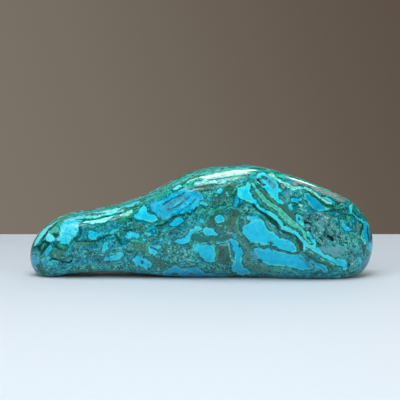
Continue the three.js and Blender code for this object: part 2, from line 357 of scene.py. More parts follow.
        (-11, 26.6), (-14, 26)]),
    "lensMoss": ("moss", -0.3, 0.9, [(-9.5, 30.6), (-5, 31.2), (-3.5, 29.5), (-4.5, 27.8), (-8.5, 28.4)]),
    "crownMint": ("blue", 0.8, 0.2, [(-16.2, 44.4), (-14.4, 46.6), (-11, 47.6), (-10.2, 46.2),
        (-12.2, 44.8)]),
    "crownStripe": ("mint", 0.8, 0.1, [(-8, 48.3, 0.4), (-4.5, 49.6, 0.5), (0, 51, 0.5), (5, 51.8, 0.5),
        (9, 53.4, 0.4)]),
    # the next mark is a pale cyan streak of the stone's own that also carries a painted reflection of a
    # light along the hump's shoulder
    "crownCyanAndReflection": ("blue", 0.7, 0.1, [(-4, 47.4, 0.6), (-0.5, 48.4, 1), (2, 49.2, 0.6), (8, 48.8, 0.7),
        (13, 49, 0.5)]),
    "crownShade": ("dark", 0.3, 0.8, [(-4.4, 45.8), (-1, 46.6), (2.6, 48.2), (6.5, 47.4), (5.6, 45.2),
        (3.5, 43.6), (0, 43.2), (-2, 44.6)]),
    "crownMoss": ("moss", 0.3, 1, [(2, 42.6, 1.2), (5, 42.2, 1.8), (7, 45, 1.4), (9, 46.5, 1.2)]),
    "crownGem": ("blue", 0.1, 0.1, [(7.4, 43.2), (8.8, 44.8), (10.6, 44.4), (10.6, 42.6), (8.6, 41.9)]),
    "crownSwirl": ("mint", -0.2, 0.5, [(3.5, 41.8, 0.6), (5.5, 40.8, 0.6), (8, 41.6, 0.5)]),
    # the middle
    "strapMoss": ("umber", -0.3, 0.9, [(0, 38.4, 0.8), (5, 37.6, 1.5), (9, 39, 1.7), (13, 39.6, 1.7),
        (16.5, 38.6, 0.9)]),
    "strapRind": ("mint", -0.4, 0.3, [(5, 34.6, 0.3), (9, 35.3, 0.4), (12.5, 36.2, 0.5),
        (15.5, 37.4, 0.35)]),
    "strapBlue": ("blue", -0.4, 0.2, [(-1.5, 36.6, 0.7), (0.8, 37.4, 0.9), (3, 36.6, 0.7)]),
    "leafRind": ("mint", -0.4, 0.3, [(-2, 29.8, 0.6), (-0.6, 31.5, 1), (0.8, 34, 0.6)]),
    "sliver": ("blue", -0.3, 0.05, [(3.6, 31.2), (5.4, 33.8), (8.2, 34.2), (7, 32.2), (5, 30.8)]),
    "bead": ("blue", -0.25, 0, [(9.5, 29, 2.4)]),
    "beadSmall": ("blue", -0.35, 0.3, [(0.2, 28, 1.2)]),
    "column": ("umber", 0, 0.15, [(14.6, 34.4), (17, 35.6), (19.4, 31.5), (18.4, 27.5), (17.6, 24.5),
        (19.4, 21.4), (16, 22), (13.7, 24), (14, 28), (14.7, 31)]),
    "columnGrain": ("olive", 0.2, 0.2, [(16.2, 30.5, 0.3), (16.3, 27, 0.7), (16, 24, 0.4)]),
    "columnRindLeft": ("mint", -0.5, 0.2, [(13, 32, 0.4), (13.2, 28, 0.5), (12.6, 24, 0.7)]),
    "columnRindRight": ("mint", -0.5, 0.4, [(19.6, 31, 0.5), (19, 28, 0.6), (19.2, 25, 0.6),
        (20.2, 22.2, 0.5), (22, 19, 0.4)]),
    "hook": ("blue", 0, 0.2, [(-14.8, 17.6), (-12.6, 19.4), (-9.4, 19.6), (-7.6, 21.4), (-6.4, 23.6),
        (-4.2, 25), (0.2, 25.2), (0.6, 23.6), (-2.8, 22.5), (-5.2, 21.4), (-5.7, 19.6), (-6.2, 17.2),
        (-9, 15.8), (-12, 16)]),
    "hookHaze": ("haze", -0.6, 0.8, [(-19, 18, 0.9), (-16, 18.6, 1.1), (-13.4, 21.4, 2), (-10, 24, 2.2),
        (-7, 25.4, 1.2)]),
    "dart": ("blue", 0, 0.05, [(0.4, 22.4), (1.4, 24.4), (3.6, 25.1), (5.8, 24.1), (7.8, 22.5), (9.8, 21.6),
        (10.4, 21.3), (9.8, 21.1), (7, 20.7), (4, 20.5), (1.8, 20.9)]),
    "pool": ("olive", -1, 0.05, [(-5.3, 18.8), (-4.2, 21.4), (-1.5, 22), (0.7, 20.7), (5, 20), (10.5, 20.3),
        (13, 21.3), (14.5, 20), (10.5, 18.3), (5, 18.2), (0.5, 17.5), (-3, 17.4)]),
    "poolBrown": ("olive", 0.8, 0.2, [(4, 18.4, 0.4), (8, 18.8, 0.8), (12, 20.2, 1), (16, 20.2, 0.8)]),
    "slab": ("blue", -0.05, 0.25, [(-3, 16.6), (1, 16.8), (5.6, 15.4), (7.2, 14.2), (6.8, 10.5), (6.7, 7.4),
        (4.6, 6.2), (1.8, 7.8), (-0.4, 10.4), (-1.4, 13)]),
    "slabHaze": ("blue", 0.2, 0.85, [(-5.4, 15.8), (-3.4, 16.6), (-1.6, 15), (-1.2, 12), (-2.6, 10.6),
        (-4.8, 12)]),
    "slabPits": ("dark", -0.9, 0.5, [(-0.2, 8.6, 0.6), (0.6, 7.8, 0.5), (2.4, 7.2, 0.4)]),
    "block": ("umber", 0, 0.1, [(7.6, 15.2), (10.5, 16.2), (13.8, 16), (14.2, 12.5), (14.6, 9.6),
        (17.2, 7.2), (16, 5.9), (10, 5.9), (7.6, 6.5)]),
    "blockGrain": ("olive", 0.3, 0.1, [(8.2, 15, 0.7), (8.3, 11, 0.8), (7.9, 7, 0.7)]),
    "blockGrain2": ("olive", 0, 0.1, [(13, 15.6, 0.6), (12.8, 12, 0.7), (12.2, 8.5, 0.7)]),
    "blockSliver": ("umber", -0.4, 0.3, [(15.4, 15, 0.5), (16, 12.5, 0.9), (17, 9.6, 0.5)]),
    "blockFoot": ("moss", 0.2, 0.9, [(1, 4.4, 1.3), (5, 3.2, 2), (9.5, 3.4, 1.9), (13, 3.2, 1.9)]),
    "poolRind": ("mint", -0.2, 0.3, [(-5.8, 18, 0.2), (-3.5, 17, 0.3), (1.5, 17.1, 0.28), (5, 16.3, 0.3),
        (7.6, 14.6, 0.22)]),
    "poolRim": ("mint", -0.4, 0.3, [(-5.4, 19, 0.2), (-4.8, 21.7, 0.25), (-2, 22.4, 0.22), (1, 20.7, 0.25),
        (6, 20.3, 0.2), (11, 21, 0.25)]),
    "tongue": ("blue", -0.25, 0, [(14.8, 19.4), (17.4, 18.8), (19.8, 15.8), (21.8, 12.6), (21.4, 8.6),
        (22, 5.2), (24.4, 2.8), (27.6, 1.6), (22, -0.2), (16, 1), (15.4, 4.6), (17.4, 6.6), (17.8, 9),
        (16.8, 12.4), (15, 16.4)]),
    "tongueVein": ("vein", -0.3, 0.1, [(14, 16.6, 0.35), (14.2, 13.4, 0.3), (14.6, 10.2, 0.35),
        (16, 8.4, 0.35), (17.6, 7, 0.5)]),
    "tongueCrest": ("vein", -0.5, 0.2, [(8.6, 17.1, 0.25), (11, 17.9, 0.35), (13.4, 17.7, 0.3),
        (15, 18.6, 0.25)]),
    "tongueLens": ("vein", -0.6, 0.2, [(8.8, 16.9, 0.2), (11, 16.1, 0.3), (13.4, 15.6, 0.3),
        (14.4, 14.9, 0.25)]),
    "columnSnow": ("lav", 0.8, 0.5, [(12.6, 22.4, 0.3), (15, 21.9, 0.5), (17.4, 21.2, 0.5)]),
    "lowBlue": ("blue", -0.6, 0.3, [(-19.8, 2.2), (-17, 3.9), (-14, 5), (-11, 4), (-8.5, 3.2), (-5.4, 3.8),
        (-2, 3.6), (0, 2.2), (3, 0.4), (8, 0.6), (14, -0.4), (14, -2), (-20, -2)]),
    "lowMossA": ("dark", 0.4, 1, [(-15.6, 0.2, 0.5), (-14, 1.1, 0.8), (-12.6, 0.4, 0.6)]),
    "lowMossB": ("dark", 0.4, 1, [(-6.2, 0.3, 0.5), (-4.8, 0.6, 0.7), (-3.4, 0, 0.4)]),
    "lowRust": ("umber", 0.1, 0.2, [(-20, 5.4, 0.9), (-17, 5.4, 0.5), (-13, 5.1, 0.3)]),
    "lowStem": ("umber", -0.5, 0.3, [(-19.2, 16.5, 0.5), (-18.8, 13, 0.5), (-18, 10, 0.4)]),
    # the great turquoise patch and what runs beside it
    "great": ("blue", -0.02, 0, [(21, 24.6), (23.2, 26.4), (26, 27.6), (29.6, 28), (32.4, 27.6), (34, 25),
        (37, 22), (41, 19.6), (45, 18.6), (48, 16.8), (49.8, 14.2), (49.4, 12.4), (47, 11.8), (44, 13),
        (41, 13.2), (38.6, 14.8), (35.6, 15.4), (32, 15.6), (28.6, 16.6), (25.2, 17.8), (22.6, 20.6)]),
    "greatFrost": ("blue", 0.3, 0.8, [(23.6, 29.4), (26, 31.6), (29.6, 31.4), (31.8, 29.2), (30, 27.6),
        (26, 27)]),
    "greatSpecks": ("dark", -0.8, 0.9, [(34.4, 16.6, 0.5), (36.6, 17, 0.9), (35.6, 14.6, 0.9),
        (37, 13, 0.5)]),
    "greatLine": ("dark", 0.6, 0.2, [(41.2, 12.7, 0.3), (43.6, 12.7, 0.5), (46.4, 11.7, 0.4),
        (51, 11.8, 0.35)]),
    "flow": ("blue", -0.12, 0.1, [(26.6, 14), (29, 14.3), (32, 13.4), (36, 13.8), (40, 12.4), (45, 11),
        (50, 10.6), (54, 8.6), (56.8, 5), (56, 2.4), (51, 2), (46, 4.4), (41, 4.8), (36, 4.6), (32.6, 6),
        (30, 8.4), (28, 11)]),
    "flowShade": ("blue", -0.9, 0.3, [(38, 11, 0.3), (43, 10.4, 0.4), (48, 8.6, 0.35), (51.5, 6.4, 0.3)]),
    "flowShade2": ("blue", -0.85, 0.3, [(44, 5.6, 0.3), (48.5, 5.8, 0.35), (52.5, 3.6, 0.3)]),
    "flowDeep": ("blue", -1, 0.2, [(46, 9.4, 0.7), (51, 9, 1.3), (54.6, 6.4, 1.9), (57, 4, 1.6)]),
    "flowDeep2": ("blue", -0.6, 0.3, [(36, 11.8, 0.5), (41, 10.4, 0.8), (46, 7.4, 0.7), (50, 5, 0.6)]),
    "flowFrost": ("lav", 0.1, 0.9, [(26.4, 12.6, 1.2), (27.4, 9.8, 1.9), (28.6, 7.6, 1.1)]),
    # the diagonal bands
    "wing": ("blue", 0.25, 0.05, [(18.2, 45.4), (21, 46.2), (23.4, 46.6), (24.2, 49.8), (26.2, 48.6),
        (25.6, 45.8), (25.6, 43), (27, 40.2), (24.4, 38.4), (21.2, 39.4), (19.4, 41), (20, 43.6)]),
    "wingTip": ("blue", -0.5, 0.1, [(17.6, 37, 0.9), (18.6, 39.4, 0.9)]),
    "ribbon": ("blue", 0.2, 0, [(25, 40.4, 1.4), (27.6, 37.4, 0.9), (30.4, 35.4, 0.8), (34, 33.6, 1),
        (37.2, 31.2, 0.7), (39.6, 29.8, 0.8), (41.4, 27, 0.9), (44, 24.9, 1), (47.4, 23.2, 1),
        (50.4, 21.2, 0.9), (53, 18.8, 0.8), (55.4, 16, 1.1), (59, 14, 1.2), (62.2, 11.8, 0.9)]),
    "malachite": ("mint", 0.1, 0.15, [(23.6, 53.4, 0.5), (24.8, 50.6, 0.4), (26.6, 47.6, 0.6),
        (28.6, 44.6, 0.8), (30.8, 42, 1), (33.2, 39.8, 1.3), (36, 37.2, 1.2), (39, 34.8, 1.1),
        (41.6, 32.4, 1.4), (44.8, 29.4, 1.4), (48, 26.9, 1.2), (51.4, 24.4, 0.9), (53.8, 22, 0.75),
        (55.6, 19.4, 0.55), (57.6, 17, 0.5)]),
    "bandBrown": ("olive", 0.7, 0.15, [(29.5, 46.6, 0.5), (33, 42.6, 0.9), (37, 39.4, 1.3), (41, 36.4, 1.2),
        (45, 33.6, 1.6), (48, 30.4, 1.4), (50, 27.4, 0.8)]),
    "bandGrit": ("umber", -0.6, 0.9, [(26.8, 43.2, 0.8), (28.6, 40, 1.3), (32, 37.4, 1.1), (35.6, 34.9, 1),
        (38.8, 32.2, 1.1), (42, 29.2, 1), (45, 26.4, 0.9), (49, 23.4, 0.7), (53, 20.4, 0.7),
        (56.4, 16.8, 0.8)]),
    "bandInk": ("dark", 0, 0.1, [(26.6, 37, 0.4), (30.6, 34, 0.6), (32.6, 32, 1), (35, 29.9, 1.2),
        (37.8, 28, 1.6), (39.8, 25.4, 1.2), (41, 24, 0.4), (43.2, 22.9, 0.8), (46, 21.4, 0.9),
        (49, 20.2, 0.5), (51.4, 18, 1.2), (52.4, 15.4, 1.2), (52.6, 13.2, 0.7)]),
    "bandInkRust": ("umber", -0.1, 0.5, [(51.6, 18.2, 0.6), (53, 16.2, 0.7)]),
    "bandInkMoss": ("mint", -0.8, 0.6, [(47.6, 18.4, 0.4), (49.6, 17, 0.7), (50.6, 14.6, 0.6)]),
    "shardA": ("blue", -0.1, 0, [(54, 15.6, 0.8), (54.4, 13.6, 0.8)]),
    "shardB": ("blue", 0.25, 0.1, [(55.4, 22.8, 0.5), (57, 21, 1.15), (58.5, 18.8, 1.15), (59.4, 16, 0.7)]),
    # the top of the right flank
    "flank": ("blue", 0.35, 0.15, [(29, 53), (32, 54.2), (35.6, 52.6), (38.6, 50), (40.4, 48), (40.8, 45.6),
        (43, 44.4), (40.6, 43), (40.2, 41.2), (42.8, 37.8), (41.6, 36.4), (39, 38.6), (36.4, 41.4),
        (33.8, 44.4), (31, 47), (29.4, 50)]),
    "flankWeave": ("lav", 0.1, 0.8, [(34.4, 49.6, 0.9), (37, 48, 2.1), (37.6, 46, 1.2)]),
    "flankSpeck": ("dark", -0.3, 0.2, [(31.8, 51.5, 0.6), (34.2, 50.9, 0.6)]),
    "flankSpeck2": ("dark", 0.1, 0.2, [(31.2, 48.2, 0.6), (32.2, 47.5, 0.9), (33.8, 47.5, 0.5)]),
    "flankHole": ("pit", 0, 0, [(29.7, 50.5, 0.6), (30.3, 49.3, 1), (31.2, 48.3, 0.6)]),
    "flankGrey": ("umber", 0.9, 0.15, [(43, 47.6, 1.5), (43.4, 45.6, 0.7)]),
    "flankGrey2": ("umber", 0.9, 0.15, [(48, 47.6, 0.9), (49.6, 47.2, 0.8)]),
    # the next mark, the pale grey strap along the right ridge, is partly the stone's own and partly a
    # painted reflection
    "flankStrapAndReflection": ("umber", 1, 0.1, [(45, 50.2, 0.3), (50, 48.8, 0.6), (56, 47.2, 0.9), (61, 45.2, 1.5),
        (66, 43.3, 1.8), (70, 41.5, 1.8), (74.6, 39.2, 1.4)]),
    "flankRust": ("umber", 0.5, 0.2, [(41, 42.2, 0.7), (42, 40.6, 1.2), (43, 38.8, 0.7)]),
    "flankRust2": ("umber", 0.4, 0.4, [(45.8, 38.6, 0.9)]),
    "flankTeal": ("moss", 0.6, 0.5, [(46, 42.2, 1.2), (50, 42.4, 1.5), (53.4, 42, 0.9)]),
    "flankPale": ("mint", 0.2, 0.6, [(52.4, 43.6, 0.5), (53, 42, 0.6)]),
    "flankDust": ("lav", 0.3, 0.5, [(44, 43.4, 0.7), (45.4, 41.6, 0.9), (44.6, 39.6, 0.6)]),
    "laceUnder": ("dark", 0.7, 0.1, [(55, 44.6, 0.4), (58, 42.6, 0.6), (60.4, 40, 0.8), (62.4, 38, 0.8),
        (65.4, 36.5, 0.9), (69.6, 35.9, 0.7)]),
    "laceBay": ("blue", 0.2, 0.05, [(62.6, 40.6), (65.5, 41), (68, 39.8), (71, 38.2), (70.2, 36.8),
        (66, 37.4), (63, 38.8)]),
    "laceShade": ("dark", 0.4, 0.2, [(62.5, 41.5, 0.3), (66.6, 41, 0.4), (69.4, 39.4, 0.5),
        (72.6, 37.8, 0.5)]),
    "lace": ("mint", 0.6, 0.15, [(34.6, 53.1, 0.4), (37.6, 51.6, 0.9), (40, 49.9, 0.7), (42.4, 49.2, 0.7),
        (44.8, 48.6, 0.8), (45.9, 46.5, 1), (47.8, 44.9, 0.9), (51.6, 45.3, 0.8), (55, 45.4, 0.8),
        (58, 44, 1), (60.2, 42, 1), (61.4, 40.2, 0.9), (63.6, 38.6, 0.8), (66.2, 37.6, 0.6),
        (70, 36.9, 0.45)]),
    "laceEnd": ("mint", 0.4, 0.3, [(71, 36, 0.35), (72.6, 36.6, 0.35), (75.4, 37.2, 0.5), (78, 37.9, 0.4)]),
    "azure": ("blue", -0.7, 0.15, [(53.4, 42.4), (55.4, 43.6), (57.8, 42.2), (60, 39.8), (62.2, 37.6),
        (65.6, 35.8), (67.6, 34.5), (64, 33.4), (60.4, 33.8), (57.4, 36.2), (55.4, 38.6)]),
    "azureFringe": ("haze", -0.3, 0.4, [(54, 40, 1), (56.4, 37, 1.2), (58.6, 34.2, 1.3)]),
    "flankBlue": ("blue", -0.15, 0.1, [(47.6, 39.6, 0.8), (49.4, 38.8, 1.1), (51.6, 39.6, 0.7)]),
    "flankBlue2": ("blue", -0.2, 0.2, [(46.2, 37, 0.7), (47, 35.2, 0.8)]),
    "zipper": ("dark", 0.3, 0.6, [(66.8, 32.8, 0.7), (69, 33.9, 0.8), (72, 34, 0.7), (75.2, 34.1, 0.6)]),
    "flankCloud": ("haze", -0.6, 0.6, [(69.6, 31.4, 1.2), (72.4, 32, 1.4), (75, 32.6, 0.8)]),
    # the crystal-lined hollows
    "swirl": ("moss", 0.1, 0.9, [(51, 37, 1.6), (50.6, 35, 2), (52.6, 33, 1.8)]),
    "swirlDark": ("dark", 0.5, 0.3, [(47.8, 36.3, 0.5), (49, 37, 0.7), (50.8, 37.2, 0.4)]),
    "swirlGlint": ("mint", 0.8, 0.3, [(51.2, 37.2, 0.5), (52.4, 36.7, 0.5)]),
    "ringBlue": ("blue", 0.2, 0.1, [(50.6, 30.8, 0.8), (52.6, 31, 0.9), (53.2, 29, 1), (53, 26.8, 0.8)]),
    "ringBlueLeft": ("blue", 0.1, 0.1, [(50.6, 30.6, 0.7), (50.4, 28.6, 0.9), (51.6, 26.8, 0.8),
        (53.6, 25.4, 0.6)]),
    "ringHole": ("pit", 0, 0, [(51.4, 29.9, 0.35), (51.5, 28.8, 0.45)]),
    "druseTeal": ("haze", 0.1, 0.9, [(56, 31, 1.5), (59, 29.6, 2.2), (63, 31.2, 1.6), (66, 30.6, 1.4)]),
    "druseCyan": ("blue", -0.2, 0.8, [(57.6, 24.6, 0.8), (59, 22.8, 1)]),
    "blobA": ("lav", 0.2, 0.4, [(62.6, 28.3, 1.3), (63.2, 27, 1.2)]),
    "blobB": ("lav", 0.2, 0.6, [(63, 24, 1.6), (66, 23.6, 1.8), (68.6, 24.4, 1)]),
    "blobC": ("lav", 0.6, 0.3, [(55.2, 26, 1)]),
    "greyPlate": ("lav", 0.35, 0.3, [(61.2, 13), (63, 14.8), (65.6, 14.2), (68, 15.6), (71, 14.2),
        (73.8, 15.4), (75, 12.6), (73, 11.4), (73.6, 9.8), (70.6, 9.4), (68.4, 10.8), (65, 11.4)]),
    "glint": ("blue", -0.3, 0.35, [(74.4, 26.2, 0.7), (76.4, 25, 1.6), (77.8, 24.2, 1.2)]),
    "glintHeart": ("vein", -0.1, 0, [(76.9, 24.8, 0.35)]),
    "flankMalachite": ("mint", -0.4, 0.5, [(76, 30.6, 0.9), (77.6, 29.4, 1.2)]),
    "druseShade": ("dark", 0.5, 0.8, [(74.4, 29.6, 1), (76, 31.4, 0.8), (78.4, 31.2, 0.6)]),
    # the right end
    "endMoss": ("moss", 0.6, 0.8, [(73.5, 21.5), (78, 22.4), (82.6, 25.6), (84, 20), (83.8, 16),
        (80.6, 13.2), (76, 12.4), (73, 14.6), (72.6, 18)]),
    "endBark": ("umber", 0.5, 0.3, [(81.8, 25.4, 0.8), (82.2, 22.6, 1)]),
    "endInk": ("dark", 0, 0.3, [(84.4, 26.8, 0.5), (83.6, 24, 0.6), (83.6, 21.4, 0.7)]),
    "endInk2": ("dark", 0.3, 0.5, [(84.6, 15.4, 0.5), (85, 13.6, 0.8), (85.4, 11.6, 0.6)]),
    "endVein": ("blue", 0.3, 0.1, [(78.2, 37.4, 0.7), (78.2, 35, 0.6), (79, 32.4, 0.5), (81.4, 30, 0.6),
        (84.4, 28.2, 0.6), (87, 26, 0.6)]),
    "endCap": ("umber", -0.2, 0.4, [(79.6, 34.6, 0.6), (82, 32.4, 0.9), (84.4, 30, 0.5)]),
    "endCapGreen": ("mint", -0.3, 0.3, [(80.4, 36, 0.35), (82.4, 34, 0.4), (85, 30.8, 0.4)]),
    "endBlue": ("blue", -0.2, 0.3, [(85.8, 27.4, 0.9), (85.9, 24, 1.6), (86, 20, 2), (87.2, 16.4, 1.6),
        (88.4, 13.6, 0.9)]),
    "endStripe": ("dark", -0.3, 0.1, [(86.4, 26, 0.35), (86.8, 23, 0.5), (87.3, 20, 0.45),
        (88.1, 17.4, 0.35)]),
    "endPale": ("mint", 0.6, 0.3, [(84.4, 19.6, 0.5), (85, 17.6, 0.6), (86.4, 16, 0.4)]),
    "endSpeckle": ("blue", 0.2, 0.6, [(77.6, 4.4), (78, 8), (80, 10), (83, 9.6), (84.6, 7), (83.4, 4.6),
        (80, 3.6)]),
    "endRing": ("dark", 0, 0.2, [(78.7, 11.5, 0.55)]),
    "endRing2": ("dark", -0.4, 0.2, [(82.4, 6.4, 0.45)]),
    "endRing3": ("dark", -0.2, 0.2, [(79.8, 6.6, 0.4)]),
    "endNick": ("pit", 0, 0, [(77.2, 6, 0.35), (77.4, 4.8, 0.5)]),
    "endMist": ("lav", -0.3, 0.3, [(83, 3.6, 0.8), (86, 5.6, 1.2), (87.4, 8, 0.7)]),
    # the lower right
    "zigzag": ("dark", 0.5, 0.4, [(53, 11.2, 0.5), (55, 11.5, 0.7), (56, 9.7, 0.7), (58.4, 8.9, 0.7),
        (60, 7.2, 0.6), (62.6, 6.6, 0.6), (65, 5.6, 0.5), (68, 4.4, 0.4)]),
    "zigzagRust": ("umber", 0.2, 0.2, [(56.2, 13.6, 0.6), (58.4, 12, 0.8), (61, 10.4, 0.4)]),
    "seamPale": ("mint", 0.3, 0.2, [(57, 12.4, 0.2), (60.4, 10, 0.22), (64, 8.2, 0.26), (67.4, 6.6, 0.24),
        (69.6, 4.8, 0.2)]),
    "seamRust": ("umber", 0.4, 0.2, [(60.4, 10.8, 0.3), (64, 9, 0.35), (68, 7, 0.35)]),
    "seamGreen": ("mint", -0.7, 0.4, [(58.6, 9.5, 0.4), (63, 7.3, 0.4), (67, 5, 0.6), (70, 3.4, 0.8)]),
    "lowTongue": ("blue", -0.6, 0, [(55.8, 8.2), (59.4, 8), (62.6, 6.6), (65, 4.2), (66.6, 2), (65, 0.8),
        (62.2, 2.2), (59.2, 4.8)]),
    "lowStream": ("blue", 0.2, 0, [(60, 13, 0.9), (63, 11, 0.7), (66.4, 9.2, 0.9), (70, 7.4, 1.2),
        (72.6, 5.8, 1.5)]),
    "lowBright": ("blue", 0.05, 0, [(69, 7), (71, 9.4), (73.4, 8.6), (75.4, 6.6), (76.8, 4), (75.4, 2),
        (73, 3.6), (70.4, 5.4)]),
    "lowWedge": ("pit", 0, 0, [(71, 4.1, 0.3), (72.2, 3.9, 0.5), (73.4, 4, 0.25)]),
    "pitA": ("pit", 0, 0.3, [(60.4, 17.2, 0.38), (60.8, 16.2, 0.68), (61.6, 15.6, 0.38)]),
    "pitB": ("pit", 0, 0.3, [(67.2, 26.2, 0.45), (67.8, 26, 0.3)]),
    "pitC": ("pit", 0, 0.3, [(54, 27.4, 0.38), (55.2, 27.6, 0.52), (56.6, 27, 0.38)]),
    "pitD": ("pit", 0, 0.3, [(55.8, 24, 0.38), (56.8, 23.6, 0.52), (57.6, 22.4, 0.3)]),
    "pitE": ("pit", 0, 0.3, [(66.6, 20, 0.38), (68, 19.4, 0.68), (68.6, 17.8, 0.52)]),
    "pitF": ("pit", 0, 0.3, [(62.4, 19, 0.3), (63.4, 18, 0.38)]),
    "pitG": ("pit", 0, 0.3, [(61, 29, 0.34)]),
    "pitH": ("pit", 0, 0.3, [(71.8, 19.6, 0.3), (72.8, 19, 0.3)]),
    # soft clouds of blue and of speckled green between the patches
    "hazeFoot": ("haze", 0.3, 0.5, [(-86, 10, 2), (-80, 6, 3.5), (-72, 4, 3.5), (-66, 8, 3)]),
    "hazeFootTop": ("haze", 0.6, 0.4, [(-82, 20, 2.5), (-76, 17, 2), (-68, 26, 3), (-60, 30, 2)]),
    "hazeHeel": ("haze", -0.5, 0.5, [(-67, 6, 2), (-60, 8, 2.6), (-52, 8, 2.4), (-44, 7, 1.8)]),
    "hazeSaddle": ("haze", -0.2, 0.5, [(-60, 15, 1.5), (-52, 15.5, 3), (-46, 19, 2.4), (-40, 16.5, 2)]),
    "hazeSaddleTop": ("haze", 0.2, 0.5, [(-62, 21, 2), (-54, 23.5, 2.6), (-46, 25, 1.8), (-39, 26.6, 1.2)]),
    "hazeNeck": ("haze", 0.5, 0.4, [(-62, 31, 2.2), (-50, 32, 2.4), (-40, 35, 2), (-30, 39.5, 2)]),
    "hazeBelly": ("haze", 0, 0.6, [(-44, 10, 1.6), (-38, 9.5, 2), (-33, 10, 1.6)]),
    "hazeHook": ("haze", 0.2, 0.6, [(-19, 17.6, 1.5), (-14, 20.6, 2.6), (-8, 24, 2.6), (-3, 27, 2),
        (2, 27.6, 1.4)]),
    "hazeStep": ("haze", -0.1, 0.5, [(-24, 20, 1.4), (-19, 21.6, 1.6), (-14, 22, 1.4)]),
    "hazeShoulder": ("haze", 0.1, 0.4, [(-26, 41, 1.2), (-17, 44, 1.2), (-11, 46, 1.4), (-4, 46, 1)]),
    "hazeUnderFlow": ("haze", 0.2, 0.3, [(28, 3.2, 1.2), (36, 3.4, 1.4), (44, 2.6, 1.8), (54, 1.6, 2)]),
    "hazeFlank": ("haze", 0.1, 0.4, [(44, 40, 2.4), (50, 41.5, 2.4), (54, 37, 2.2), (56, 33, 2)]),
    "hazeDruse": ("haze", -0.4, 0.6, [(56, 31, 2.2), (62, 31, 2.6), (68, 30, 2.4), (72, 27, 2)]),
    "hazeGlint": ("haze", 0.35, 0.3, [(73, 26.4, 2), (76.6, 24.8, 3.4)]),
    "hazeEnd": ("haze", 0.4, 0.5, [(78, 6, 2.6), (82, 7, 3.4), (86, 10, 2.4), (87.6, 16, 1.6)]),
    "hazeTip": ("haze", 0.2, 0.3, [(84, 31, 1.4), (87, 26, 1.6), (88, 20, 1.6)]),
    "hazeLow": ("haze", -0.3, 0.2, [(-24, 0.8, 1.4), (-40, 1.6, 1.2), (-54, 2.4, 1.4)]),
    "hazeLowRight": ("haze", 0, 0.2, [(20, -0.5, 1.6), (40, -0.5, 1.6), (70, -0.4, 2)]),
    "mossFoot": ("moss", 0, 0.9, [(-66, 3.6, 1.6), (-58, 4.2, 2), (-48, 4, 2), (-38, 4, 2.4)]),
    "mossSaddle": ("moss", -0.4, 0.8, [(-59, 25.6, 1.2), (-52, 26.4, 1.5), (-45, 27.6, 1.3)]),
    "mossCheek": ("moss", 0.2, 1, [(-20, 15.4), (-12, 14.8), (-4, 15.6), (-2.2, 12), (-1, 8), (-4, 6),
        (-10, 6), (-16, 6.6), (-19, 9.6)]),
    "mossWaist": ("moss", 0.1, 0.9, [(-36, 14, 1.2), (-29, 15.4, 1.6), (-23, 20, 1.8), (-18, 22.8, 1.4)]),
    "mossLap": ("moss", -0.2, 0.8, [(-6, 34, 1.2), (0, 33.6, 2.4), (4, 29, 2.2), (8, 34, 1.6)]),
    "mossCollar": ("moss", 0.1, 1, [(23, 33.6, 3), (26, 36, 2), (30, 31.4, 2.2), (36, 27.4, 2),
        (41, 23.6, 1.6), (47, 20, 1.2), (51, 15, 1)]),
    "mossHem": ("moss", 0.3, 1, [(21, 21, 1.3), (22.4, 16.5, 2), (23.4, 11, 2.8), (26, 6, 2.6),
        (33, 3.4, 1.6), (41, 3.2, 1.2)]),
    "mossBeard": ("moss", 0, 0.9, [(36, 16.6, 0.9), (42, 12.2, 0.8), (48, 11, 0.6)]),
    "mossDruse": ("moss", 0.6, 0.9, [(60, 26, 2.4), (66, 22, 3), (66, 27, 2.6), (71, 22, 2.4)]),
    "saddleBark": ("umber", -0.2, 0.7, [(-35.6, 27.8), (-31.4, 26.8), (-29.4, 24.6), (-30.6, 21.8),
        (-32.6, 22.6), (-34.6, 25.2)]),
    "saddleOlive": ("olive", 0.3, 0.6, [(-66, 15.8, 0.6), (-62, 16.2, 0.9), (-57.5, 16.5, 0.6)]),
    "saddleStep": ("umber", -0.1, 0.4, [(-57, 17.3, 0.4), (-53.8, 18.4, 0.8), (-52.3, 19.2, 0.4)]),
    "saddleCurl": ("mint", -0.1, 0.6, [(-61.6, 12.2, 0.25), (-60.2, 11, 0.3), (-58.8, 11.7, 0.25)]),
    "saddleSheen": ("blue", 0.9, 0.2, [(-56.4, 32.4, 0.6), (-52, 32.9, 0.9), (-47, 33.7, 0.9),
        (-42.6, 34.8, 0.5)]),
    "lowPebble": ("moss", 0.9, 0.4, [(-22.4, 3.4, 1.3)]),
    "mossSkirt": ("moss", 0.8, 1, [(27, 3.4, 1.6), (33, 3.1, 1.4), (40, 3.1, 1.4), (47, 3.2, 1.1)]),
    "druseField": ("moss", 0.7, 0.7, [(60.2, 26.4), (64, 26.8), (69, 25.6), (71.5, 22.6), (68.6, 20.6),
        (64, 20.4), (60.6, 21.6)]),
    "matrixRight": ("umber", 0.15, 0.55, [(18.3, 24.6), (21.5, 22), (24.1, 16.7), (25.5, 12.8), (26.1, 8.9),
        (30.7, 4.9), (38.5, 3), (37.2, 1), (28.1, 1.6), (22.8, 2.3), (20.8, 5.6), (22.4, 11.5),
        (20.4, 16.7), (17.6, 21.3)]),
    "matrixBead": ("umber", -0.1, 0.25, [(2.6, 31.1), (5.8, 33.1), (9.8, 33.8), (13.4, 32.5), (14, 27.2),
        (13, 22.6), (8.5, 22.4), (4.5, 22.8), (1.9, 24.6), (1.6, 28.5)]),
    "matrixUpper": ("umber", -0.5, 0.45, [(9.8, 46.2), (13.7, 48.8), (17.6, 48.2), (17.3, 42.3),
        (14.3, 39.7), (11.7, 39.7), (9.1, 36.4), (3.9, 35.1), (6.5, 39.7), (9.1, 42.3)]),
